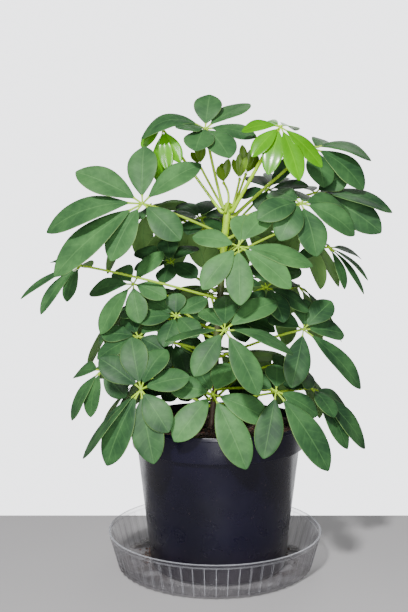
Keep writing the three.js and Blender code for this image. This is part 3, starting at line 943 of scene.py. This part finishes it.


# Leaves. Each has its hub, the height on the stem where its petiole starts, the way its upper side faces,
# for some how light its green is from 0 to 1, which is partly its own tone and partly painted shade, and
# the tips of its leaflets as steps from the hub: right, away from the viewer, up, and for some the arch as
# a share of the length and the turn about its own length in degrees. Broad is a share of the usual width,
# width is one in millimetres, and stout thickens the petiole.

leaves = [
    {
        "name": "leaf_centre_high",
        "hub": (22, -85, 355),
        "foot": 340,
        "face": (0, -0.7, 0.7),
        "toneAndShade": 0.95,
        "tips": [
            (-46, 5, 9), (-36, -20, -42), (1, -28, -57), (51, -20, -41), (75, 4, -20, 0.12, 8),
            (8, 36, 31), (34, 32, 36),
        ],
    },
    {
        "name": "leaf_centre_low",
        "hub": (8, -100, 273),
        "foot": 240,
        "face": (0, -0.65, 0.75),
        "tips": [
            (-59, 5, -12, 0.16, -32), (-30, -22, -43), (33, -20, -62), (68, -6, -24, 0.32, 25),
            (54, 26, 26), (-21, 36, 17), (3, 42, 30),
        ],
    },
    {
        "name": "leaf_left_high",
        "hub": (-76, -45, 398),
        "foot": 366,
        "face": (-0.2, -0.7, 0.7),
        "toneAndShade": 0.55,
        "broad": 1.18,
        "tips": [
            (-70, 10, 33), (-100, 2, -30, 0.28), (-90, -16, -75), (-31, -22, -59), (40, -18, -38),
            (61, 10, 41), (1, 22, 60),
        ],
    },
    {
        "name": "leaf_top",
        "hub": (-11, -20, 477),
        "foot": 393,
        "face": (0, -0.55, 0.84),
        "toneAndShade": 0.3,
        "broad": 1.2,
        "stout": 1.15,
        "tips": [
            (5, 22, 38, 0.1), (48, 26, 29, 0.1, 10), (54, -8, -10), (25, -42, -34),
            (-10, -46, -27), (-30, -24, -2), (-68, 4, -11, 0.5),
        ],
    },
    {
        "name": "leaf_lime_top",
        "hub": (66, -50, 476),
        "foot": 390,
        "face": (0, -0.66, 0.75),
        "toneAndShade": 0.6,
        "broad": 0.78,
        "stout": 1.5,
        "tips": [
            (-40, 2, -5, 0.24), (-30, -14, -32), (-14, -20, -50), (18, -20, -56), (42, -8, -42),
            (18, 42, 0), (-20, 36, 5),
        ],
    },
    {
        "name": "leaf_right_middle",
        "hub": (87, -55, 398),
        "foot": 361,
        "face": (0.1, -0.72, 0.68),
        "toneAndShade": 0.35,
        "broad": 1.16,
        "tips": [
            (55, -4, -33, 0.26), (14, -22, -54, 0.22), (-24, -26, -38, 0.3), (-46, -6, -17, 0.26),
            (-30, 36, 12), (14, 46, 8), (50, 36, -4),
        ],
    },
    {
        "name": "leaf_front_left",
        "hub": (-76, -85, 211),
        "foot": 212,
        "face": (-0.2, -0.7, 0.7),
        "toneAndShade": 0.15,
        "broad": 1.1,
        "tips": [
            (-43, 12, 30), (-11, 22, 50), (26, 16, 38, 0.3), (50, -4, 13), (29, -20, -40),
            (14, -20, -72), (-34, -12, -76), (-60, 2, -72, 0.16, -35),
        ],
    },
    {
        "name": "leaf_front_low",
        "hub": (-3, -80, 205),
        "foot": 184,
        "face": (0, -0.75, 0.65),
        "toneAndShade": 0.65,
        "broad": 1.1,
        "tips": [
            (33, -30, -70), (-39, -22, -44), (57, -6, -26), (-46, 8, 8), (19, 34, 26),
            (-20, 36, 24),
        ],
    },
    {
        "name": "leaf_front_right",
        "hub": (61, -80, 208),
        "foot": 196,
        "face": (0.1, -0.72, 0.68),
        "toneAndShade": 0.0,
        "tips": [
            (52, -18, -78), (-14, -24, -64), (44, 10, -27), (3, 34, 22), (-34, 24, 10),
        ],
    },
    {
        "name": "leaf_right_low",
        "hub": (92, -45, 267),
        "foot": 232,
        "face": (0.2, -0.7, 0.68),
        "toneAndShade": 0.05,
        "broad": 1,
        "tips": [
            (60, -6, -62, 0.16, 12), (-15, -20, -57), (4, 24, 30), (32, 20, 28), (46, 22, -8),
            (-36, 20, 10),
        ],
    },
    {
        "name": "leaf_left_middle",
        "hub": (-88, -20, 313),
        "foot": 276,
        "face": (-0.3, -0.6, 0.74),
        "toneAndShade": 0.65,
        "tips": [
            (-34, -12, -53), (8, -16, -41), (36, -12, -14), (32, 14, 34), (-20, 40, 14),
            (-50, 22, -12),
        ],
    },
    {
        "name": "leaf_left_low",
        "hub": (-82, -35, 258),
        "foot": 236,
        "face": (-0.3, -0.6, 0.74),
        "toneAndShade": 0.2,
        "tips": [
            (-40, -2, 2), (-42, -14, -22), (-14, -22, -30), (28, -12, -14), (-14, 38, 22),
            (30, 26, 14),
        ],
    },
    {
        "name": "leaf_left_far",
        "hub": (-145, -10, 332),
        "foot": 296,
        "face": (-0.4, -0.05, 0.9),
        "toneAndShade": 0.2,
        "width": 18,
        "tips": [
            (-65, -4, -36, 0.16, 22), (-42, -12, -52, 0.16, 42), (-13, -16, -38, 0.16, 38),
            (-38, 36, 2), (6, 40, -4),
        ],
    },
    {
        "name": "leaf_lime_small",
        "hub": (-56, -15, 477),
        "foot": 389,
        "face": (-0.1, -0.85, 0.5),
        "toneAndShade": 0.6,
        "width": 17,
        "stout": 1.15,
        "tips": [
            (6, -8, -45), (19, -4, -36), (-24, -8, -18), (-6, 12, -56), (-18, 20, 0),
        ],
    },
    {
        "name": "leaf_right_top",
        "hub": (106, 10, 459),
        "foot": 384,
        "face": (0.25, -0.45, 0.86),
        "toneAndShade": 0.2,
        "broad": 1.25,
        "stout": 1.3,
        "tips": [
            (24, 34, 8), (64, 0, -14, 0.32), (54, -12, -46, 0.2, -18), (8, -34, -44), (-10, 50, 2),
            (-44, 12, -38),
        ],
    },
    {
        "name": "leaf_right_high",
        "hub": (108, 2, 410),
        "foot": 382,
        "face": (0.2, -0.5, 0.84),
        "toneAndShade": 0.2,
        "broad": 1.15,
        "tips": [
            (84, -2, -21, 0.2), (71, -8, -43, 0.12, -40), (29, -36, -38), (36, -16, 20, 0.16, -25),
            (-16, 44, 8), (48, 42, -4),
        ],
    },
    {
        "name": "leaf_right_far",
        "hub": (122, -10, 352),
        "foot": 322,
        "face": (0.5, -0.3, 0.81),
        "toneAndShade": 0.2,
        "width": 19,
        "tips": [
            (42, -6, -36), (36, -16, -50), (14, -24, -44), (-34, -8, -12), (-12, 40, 4),
            (40, 30, -14),
        ],
    },
    {
        "name": "leaf_middle_right",
        "hub": (53, -40, 311),
        "foot": 284,
        "face": (0.15, -0.5, 0.85),
        "toneAndShade": 0.05,
        "tips": [
            (44, -6, -26, 0.2), (16, -32, -34), (-24, -26, -30), (-40, 4, 6), (-8, 36, 24),
            (38, 22, 18),
        ],
    },
    {
        "name": "leaf_middle_left",
        "hub": (-42, -25, 279),
        "foot": 262,
        "face": (-0.15, -0.65, 0.74),
        "toneAndShade": 0.2,
        "tips": [
            (-42, -4, -4), (-12, -24, -30), (24, -22, -20), (34, 2, 18), (0, 30, 34),
            (-36, 24, 18),
        ],
    },
    {
        "name": "leaf_inner_left",
        "hub": (-48, 5, 335),
        "foot": 304,
        "face": (-0.2, -0.5, 0.84),
        "tips": [
            (-40, -12, -8), (-8, -30, -22), (28, -20, -16), (-6, 30, 26), (-42, 26, 10),
            (28, 30, 16),
        ],
    },
    {
        "name": "leaf_inner_top",
        "hub": (-16, 12, 383),
        "foot": 350,
        "face": (-0.05, -0.5, 0.86),
        "tips": [
            (-36, -14, 2), (-14, -30, -18), (24, -22, -14), (42, 8, 4), (10, 34, 20),
            (-24, 32, 16),
        ],
    },
    {
        "name": "leaf_inner_right",
        "hub": (58, 14, 414),
        "foot": 372,
        "face": (0.1, -0.5, 0.86),
        "tips": [
            (-32, -14, -8), (-10, -28, -24), (24, -24, -18), (44, -4, 4), (20, 34, 18),
            (-20, 32, 16),
        ],
    },
    {
        "name": "leaf_inner_middle",
        "hub": (20, 40, 272),
        "foot": 250,
        "face": (0, -0.5, 0.86),
        "tips": [
            (-58, -4, -6), (-30, -24, -26), (14, -30, -26), (48, -14, -16), (60, 12, -6),
            (0, 38, 14),
        ],
    },
    {
        "name": "leaf_inner_low",
        "hub": (-36, 34, 206),
        "foot": 182,
        "face": (0, -0.9, 0.42),
        "tips": [
            (-46, 4, -20), (-24, 12, -32), (6, 14, -34), (34, -4, -8), (0, 20, 26),
        ],
    },
    {
        "name": "leaf_inner_base",
        "hub": (32, 30, 207),
        "foot": 187,
        "face": (0.1, -0.8, 0.6),
        "tips": [
            (-32, 0, -12), (-8, 10, -30), (14, 4, -32), (34, -8, -14), (4, 28, 14),
        ],
    },
    {
        "name": "leaf_inner_side",
        "hub": (-46, 26, 244),
        "foot": 224,
        "face": (0.1, -0.75, 0.65),
        "tips": [
            (-34, 0, -10), (-16, -12, -30), (14, -16, -32), (34, -2, -8), (18, 14, 26),
            (-18, 14, 26),
        ],
    },
    {
        "name": "leaf_low_right",
        "hub": (104, -20, 200),
        "foot": 178,
        "face": (0.35, -0.55, 0.76),
        "toneAndShade": 0.05,
        "tips": [
            (21, -28, -26), (38, -12, -64), (60, 6, -68), (46, 36, -34), (-4, 44, -8),
            (-30, 10, 4),
        ],
    },
    {
        "name": "leaf_low_left",
        "hub": (-126, 4, 216),
        "foot": 190,
        "face": (-0.5, -0.4, 0.77),
        "toneAndShade": 0.2,
        "tips": [
            (-32, -8, -55), (-9, -24, -48), (-34, 42, -12), (-8, 50, -6), (10, 40, -14),
            (28, -6, -30),
        ],
    },
    {
        "name": "young_leaf_right",
        "hub": (26, -8, 424),
        "foot": 396,
        "face": (0, -0.8, 0.5),
        "toneAndShade": 0.3,
        "width": 8,
        "tips": [
            (-1, 0, 27, 0.04), (7, -5, 24, 0.04), (-7, 4, 22, 0.04),
        ],
    },
    {
        "name": "young_leaf_left",
        "hub": (9, -8, 420),
        "foot": 395,
        "face": (0, -0.8, 0.5),
        "toneAndShade": 0.3,
        "width": 10,
        "tips": [
            (5, -2, 26, 0.05), (-6, -5, 18, 0.05), (-2, 6, 22, 0.05),
        ],
    },
    {
        "name": "young_leaf_far",
        "hub": (-17, 2, 440),
        "foot": 395,
        "face": (0, -0.8, 0.5),
        "toneAndShade": 0.2,
        "width": 8,
        "tips": [
            (-3, 0, 25, 0.05), (5, -4, 20, 0.05), (-9, 3, 14, 0.05),
        ],
    },
    {
        "name": "young_leaf_behind",
        "hub": (33, 6, 430),
        "foot": 394,
        "face": (0, -0.8, 0.5),
        "toneAndShade": 0.2,
        "width": 10,
        "tips": [
            (-4, 0, 32, 0.05), (7, -4, 28, 0.05), (14, 4, 20, 0.05),
        ],
    },
]


# The first of these words that is in a leaf's name gives its finish
leafKinds = [("lime", "lime"), ("young", "bud"), ("inner", "inner"), ("leaf", "grown")]

petiole = {
    "radius": 1.4,
    "gap": 0.3,
    # how the solid's path starts and bends, and its radii as shares, from the stem on
    "flare": 1.25,
    "push": 0.04,
    "rise": 0.06,
    "solidRadii": (1.25, 1.25, 0.96, 0.92, 0.88),
    # the finer one: its foot is sunk into the bark, and it swells there and under the hub
    "sides": 6,
    "rings": (0, 0.004, 0.02, 0.06, 0.14, 0.26, 0.4, 0.55, 0.7, 0.85, 0.97, 1),
    "footRing": 0.02,
    "sunk": 0.6,
    "thick": 1.24,
    "taper": 0.16,
    "footSwell": 0.5,
    "hubSwell": 0.35,
    "swellLength": 0.05,
    "hub": 2.5,
}
leaflet = {
    # how far along each ring of points lies, and its share of the full width: the stalk, then the blade
    "rings": [
        (0.008, 0.055), (0.06, 0.05), (0.122, 0.06), (0.145, 0.13), (0.19, 0.28), (0.26, 0.49),
        (0.35, 0.71), (0.46, 0.9), (0.57, 1.0), (0.68, 0.99), (0.78, 0.88), (0.86, 0.71), (0.92, 0.51),
        (0.965, 0.29), (1.0, 0.05),
    ],
    "stalkRings": 3,
    "across": 4,
    # the usual width is this and a share of the length
    "width": 20,
    "widening": 0.14,
    "thickness": 0.6,
    "groove": 0.75,
    "shoulder": 0.35,
    "stalkDepth": 1.1,
    "arch": 0.16,
    # how light a leaf's green is unless its leaf says otherwise, partly painted shade, and how far each
    # leaflet strays from it at random
    "toneAndShade": 0.42,
    "toneAndShadeSpread": 0.2,
    "cups": (-1.2, 1.6),
    "wave": 0.8,
    "waves": 9,
    # the widths from which the groove and the waves have their full depth
    "grooveWidth": 20,
    "waveWidth": 26,
}
# The tries from which the solids take their places, in the same order
depthTries = [0, -9, 9, -18, 18, -27, 27, -38, 38, -50, 50]
lengthTries = [1, 0.86, 0.72]
footTries = [0, 3, -3, 6, -6, 10, -10, 15, -15]
reachTries = [0, 8, -8, 16, -16]
bendTries = [0, 0.08, -0.08, 0.16, -0.16, 0.25, -0.25, 0.36, -0.36, 0.48, -0.48]
# how much nearer, in millimetres, a later try has to be
nearer = 0.01

# The leaves at the back of the crown follow the solids' rule, in three rows from the lowest up
backRows = [
    {"height": 212, "reach": 104, "count": 5, "lift": -22},
    {"height": 296, "reach": 108, "count": 5, "lift": -34},
    {"height": 384, "reach": 92, "count": 4, "lift": -34},
]
backLeaf = {
    # the back leaves get a darker green, as painted shade
    "toneAndShade": 0.15,
    # where it stands: round the middle of the stem, spread a little in turn, reach and height
    "middle": 5,
    "turnSpread": 0.3,
    "reachFrom": 0.86,
    "reachSpread": 0.2,
    "heightSpread": 24,
    # how far its face leans out, and how far up it looks
    "out": 0.6,
    "up": 0.8,
    # its leaflets: the lower ones are longer, and each hangs a little, as shares of its length
    "leaflets": 7,
    "length": 66,
    "leafletSpread": 0.4,
    "shortest": 0.66,
    "lowerLonger": 0.3,
    "lengthSpread": 0.2,
    "droop": 0.3,
    "sag": 0.16,
}


# A number from 0 to 1 that looks random, and is the same for the same seed here and in the solids
def vary(seed):
    wave = math.sin(seed * 12.9898) * 43758.5453
    return wave - math.floor(wave)


def spreadTips(face, seed):
    up = face.normalized()
    side = Vector((0, 0, 1)).cross(up).normalized()
    down = side.cross(up)
    tips = []
    for i in range(backLeaf["leaflets"]):
        turn = (i + backLeaf["leafletSpread"] * vary(seed + 7 * i)) / backLeaf["leaflets"] * 2 * math.pi
        low = 0.5 - 0.5 * math.cos(turn)
        share = backLeaf["shortest"] + backLeaf["lowerLonger"] * low
        length = backLeaf["length"] * (share + backLeaf["lengthSpread"] * vary(seed + 5 * i))
        tip = down * (-math.cos(turn) * length) + side * (math.sin(turn) * length)
        tip -= up * (backLeaf["droop"] * length)
        tip.z -= backLeaf["sag"] * length
        tips.append(tuple(tip))
    return tips


def backLeaves():
    made = []
    for r, row in enumerate(backRows):
        for i in range(row["count"]):
            seed = 10 * r + i + 1
            turn = (i + 0.5 + backLeaf["turnSpread"] * (vary(seed) - 0.5)) / row["count"] * math.pi
            out = Vector((math.cos(turn), math.sin(turn), 0))
            reach = row["reach"] * (backLeaf["reachFrom"] + backLeaf["reachSpread"] * vary(seed + 0.3))
            height = row["height"] + backLeaf["heightSpread"] * (vary(seed + 0.6) - 0.5)
            face = out * backLeaf["out"] + Vector((0, 0, backLeaf["up"]))
            made.append({
                "name": f"leaf_back_{seed}",
                "hub": tuple(out * reach + Vector((backLeaf["middle"], 0, height))),
                "foot": height + row["lift"],
                "face": tuple(face),
                "toneAndShade": backLeaf["toneAndShade"],
                "tips": spreadTips(face, seed),
            })
    return made


# One leaflet, flat, with x along it, y across it and z in its thickness, to be copied and bent
def makeLeafletShape():
    deselectAll()
    count = len(leaflet["rings"]) - 1
    bpy.ops.mesh.primitive_grid_add(x_subdivisions=count, y_subdivisions=leaflet["across"], size=1)
    shape = bpy.context.object
    shape.name = "leafletShape"
    shape.data.uv_layers[0].name = "leafMap"
    ring = {v.index: round((v.co.x + 0.5) * count) for v in shape.data.vertices}
    line = {v.index: round(abs(v.co.y) * leaflet["across"]) for v in shape.data.vertices}
    editMode(shape)
    for i, (along, share) in enumerate(leaflet["rings"]):
        selectVerts(shape, lambda vert: ring[vert.index] == i)
        bpy.ops.transform.translate(value=(along - (i / count - 0.5), 0, 0))
        bpy.ops.transform.resize(value=(1, share, 1), center_override=(along, 0, 0))
    # a groove down the middle of the blade, and shoulders beside it
    blade = {index for index, i in ring.items() if leaflet["stalkRings"] < i < count}
    selectVerts(shape, lambda vert: vert.index in blade and line[vert.index] == 0)
    bpy.ops.transform.translate(value=(0, 0, -leaflet["groove"]))
    selectVerts(shape, lambda vert: vert.index in blade and line[vert.index] == 1)
    bpy.ops.transform.translate(value=(0, 0, leaflet["shoulder"]))
    objectMode()
    top = len(shape.data.vertices)
    applyModifier(shape, "SOLIDIFY", thickness=leaflet["thickness"], offset=-1)
    points = readPoints(shape)
    # x and y are shares and z is millimetres here, so the lower side is put straight under the upper one
    points[top:, :2] = points[:top, :2]
    points[top:, 2] = points[:top, 2] - leaflet["thickness"]
    writePoints(shape, points)
    stalk = {index for index, i in ring.items() if i < leaflet["stalkRings"]}
    editMode(shape)
    selectVerts(shape, lambda vert: vert.index - top in stalk)
    bpy.ops.transform.translate(value=(0, 0, -leaflet["stalkDepth"]))
    selectVerts(shape, lambda vert: vert.index - top in stalk and line[vert.index - top] == 2)
    bpy.ops.transform.translate(value=(0, 0, leaflet["stalkDepth"] * 0.6))
    objectMode()
    tint = shape.data.color_attributes.new("tint", "FLOAT_COLOR", "POINT")
    for i, entry in enumerate(tint.data):
        under, index = divmod(i, top)
        entry.color = (under, 1.0 if index in stalk else 0.0, 0.5, 1.0)
    layer = shape.data.uv_layers["leafMap"]
    for loop in shape.data.loops:
        place = layer.data[loop.index].uv
        place.x = shape.data.vertices[loop.vertex_index].co.x
    return shape


# A petiole to be laid along its path: a metre long and a metre in radius, which turnedPiece takes as
# millimetres
def makeStalkShape():
    rings = [(1 / mm, along / mm) for along in petiole["rings"]]
    shape = turnedPiece("stalkShape", rings, petiole["sides"])
    markAsStalk(shape)
    return shape


def makeHubShape():
    deselectAll()
    bpy.ops.mesh.primitive_ico_sphere_add(subdivisions=1, radius=1)
    shape = bpy.context.object
    while shape.data.uv_layers:
        shape.data.uv_layers.remove(shape.data.uv_layers[0])
    markAsStalk(shape)
    return shape


def markAsStalk(shape):
    layer = shape.data.uv_layers.new(name="leafMap")
    for entry in layer.data:
        entry.uv = (0.02, 0.5)
    tint = shape.data.color_attributes.new("tint", "FLOAT_COLOR", "POINT")
    for entry in tint.data:
        entry.color = (0.0, 1.0, 0.5, 1.0)


# A direction across a petiole, after a fixed one that no petiole runs along
def acrossPetiole(along):
    return along.cross(Vector((0.31, 0.94, 0.1))).normalized()


def ringCorner(before, centre, after, radius):
    return centre + acrossPetiole((after - before).normalized()) * radius


# The hub, moved out from the middle of the plant by reach
def hubAt(leaf, reach):
    hub = Vector(leaf["hub"])
    return hub + Vector((hub.x, hub.y, 0)).normalized() * reach


def petioleRadius(leaf):
    return petiole["radius"] * leaf.get("stout", 1)


# The petiole's path from the stem to the hub: its foot on the bark, and a curve from just off the bark
def petiolePath(leaf, hub, foot, bend):
    centre = stemAt(foot)
    out = hub - centre
    out.z = 0
    out.normalize()
    base = centre + out * (stemRadius(centre.z) + petiole["gap"])
    start = base + out * (petiole["flare"] * petioleRadius(leaf))
    span = hub - start
    aside = Vector((0, 0, 1)).cross(out)
    control = start + span * 0.5 + out * (petiole["push"] * span.length) + aside * (bend * span.length)
    control.z += petiole["rise"] * span.length

    def at(t):
        return start * (1 - t) ** 2 + control * (2 * t * (1 - t)) + hub * t * t

    return base, at


# Each solid stands at the first of its tries that was clear of the rest: the one whose corners it has
def findPlace(leaf):
    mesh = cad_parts[leaf["name"]].data
    tree = kdtree.KDTree(len(mesh.vertices))
    for vert in mesh.vertices:
        tree.insert(vert.co / mm, vert.index)
    tree.balance()

    # how far a point is from the nearest corner of the solid
    def miss(point):
        return tree.find(point)[2]

    best = None
    for reach in reachTries:
        hub = hubAt(leaf, reach)
        steps = []
        for tip in leaf["tips"]:
            tries = [
                Vector((tip[0], tip[1] + depth, tip[2])) * share
                for share in lengthTries for depth in depthTries
            ]
            steps.append(min(tries, key=lambda step: miss(hub + step)))
        off = sum(miss(hub + step) for step in steps)
        if best is None or off < best[0] - nearer:
            best = (off, hub, steps)
    off, hub, steps = best

    bestPath = None
    for lift in footTries:
        for bend in bendTries:
            base, at = petiolePath(leaf, hub, leaf["foot"] + lift, bend)
            points = [base] + [at(i / 4) for i in range(5)]
            misses = []
            for i, share in enumerate(petiole["solidRadii"]):
                radius = petioleRadius(leaf) * share
                misses.append(miss(ringCorner(points[max(i - 1, 0)], points[i], points[i + 1], radius)))
            # the solid may lack a corner where it was simplified, so the best three of five count
            pathOff = sum(sorted(misses)[:3])
            if bestPath is None or pathOff < bestPath[0] - nearer:
                bestPath = (pathOff, base, at)
    return hub, steps, bestPath[1], bestPath[2], off / len(steps), bestPath[0]


# One leaflet from the hub along its step, bent in an arch and turned about its own length
def layLeaflet(hub, step, leaf, arch, turn):
    copy = ownCopy(leafletShape)
    points = readPoints(copy)
    hub, step = np.array(hub), np.array(step)
    length = np.linalg.norm(step)
    usualWidth = leaflet["width"] + leaflet["widening"] * length
    width = leaf.get("width") or leaf.get("broad", 1) * usualWidth
    face = np.array(leaf["face"]) / np.linalg.norm(leaf["face"])
    across = np.cross(step / length, face)
    across /= np.linalg.norm(across)
    above = np.cross(across, step / length)
    middle = 0.5 * step + above * arch * length
    t = points[:, 0:1]
    centre = hub + middle * 2 * t * (1 - t) + step * t * t
    along = middle * (2 - 4 * t) + step * 2 * t
    along /= np.linalg.norm(along, axis=1)[:, None]
    up = np.cross(across, along)
    roll = math.radians(turn)
    right = across * math.cos(roll) + up * math.sin(roll)
    over = np.cross(right, along)
    # each leaflet cups and waves a little in its own way
    side = points[:, 1:2] * 2
    small = min(width / leaflet["waveWidth"], 1)
    cup = luck.uniform(*leaflet["cups"]) * small
    phase = luck.uniform(0, 2 * math.pi)
    wave = leaflet["wave"] * small ** 2 * np.sin(t * leaflet["waves"] + phase + side) * np.abs(side)
    lift = points[:, 2:3] * min(width / leaflet["grooveWidth"], 1)
    lift = lift + cup * side ** 2 + wave * np.sin(t * math.pi)
    writePoints(copy, (centre + right * points[:, 1:2] * width + over * lift) * mm)
    # the leaflet's green is as light as its leaf's setting, partly painted shade, and varies a little at
    # random
    spread = leaflet["toneAndShadeSpread"]
    toneAndShade = leaf.get("toneAndShade", leaflet["toneAndShade"]) + luck.uniform(-spread, spread)
    for entry in copy.data.color_attributes["tint"].data:
        entry.color[2] = toneAndShade
    return copy


# A petiole, thicker at its foot and under its hub
def layStalk(leaf, base, at):
    copy = ownCopy(stalkShape)
    points = readPoints(copy)
    foot = base + (base - at(0)) * petiole["sunk"]
    footRing = petiole["footRing"]
    for point in points:
        t = point[2]
        centre = foot.lerp(at(0), t / footRing) if t < footRing else at((t - footRing) / (1 - footRing))
        ahead = at(min(t + 0.01, 1)) - at(max(t - 0.01, 0)) if t > footRing else at(0) - base
        ahead.normalize()
        across = acrossPetiole(ahead)
        other = ahead.cross(across)
        swell = petiole["footSwell"] * math.exp(-((t / petiole["swellLength"]) ** 2))
        radius = petioleRadius(leaf) * (petiole["thick"] - petiole["taper"] * t + swell)
        radius += petiole["hubSwell"] * math.exp(-(((1 - t) / petiole["swellLength"]) ** 2))
        place = centre + (across * point[0] + other * point[1]) * radius
        point[:] = place * mm
    writePoints(copy, points)
    return copy


def layHub(hub):
    copy = ownCopy(hubShape)
    points = readPoints(copy) * petiole["hub"]
    writePoints(copy, (points + np.array(hub)) * mm)
    return copy


leafletShape = makeLeafletShape()
stalkShape = makeStalkShape()
hubShape = makeHubShape()
# how far off, in millimetres, the tips and the petiole of a leaf may be from the solid's
sure = {"tips": 0.1, "petiole": 0.3}
worst = 0
for leaf in leaves + backLeaves():
    hub, steps, base, at, off, pathOff = findPlace(leaf)
    worst = max(worst, off)
    if off > sure["tips"] or pathOff > sure["petiole"]:
        print("  place unsure:", leaf["name"], round(off, 3), round(pathOff, 3))
    parts = [layStalk(leaf, base, at), layHub(hub)]
    for tip, step in zip(leaf["tips"], steps):
        arch = tip[3] if len(tip) > 3 else leaflet["arch"]
        turn = tip[4] if len(tip) > 4 else 0
        parts.append(layLeaflet(hub, step, leaf, arch, turn))
    piece = joined(leaf["name"] + "_blades", parts)
    roundOff(piece)
    smooth(piece)
    kind = next(kind for word, kind in leafKinds if word in leaf["name"])
    young = kind in ("lime", "bud")
    dress(piece, finishes[kind])
    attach(piece, "root")
    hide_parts(leaf["name"])
for shape in (leafletShape, stalkShape, hubShape):
    bpy.data.objects.remove(shape)
print("leaves made, tips within", round(worst, 4), "mm of the solids")

deselectAll()
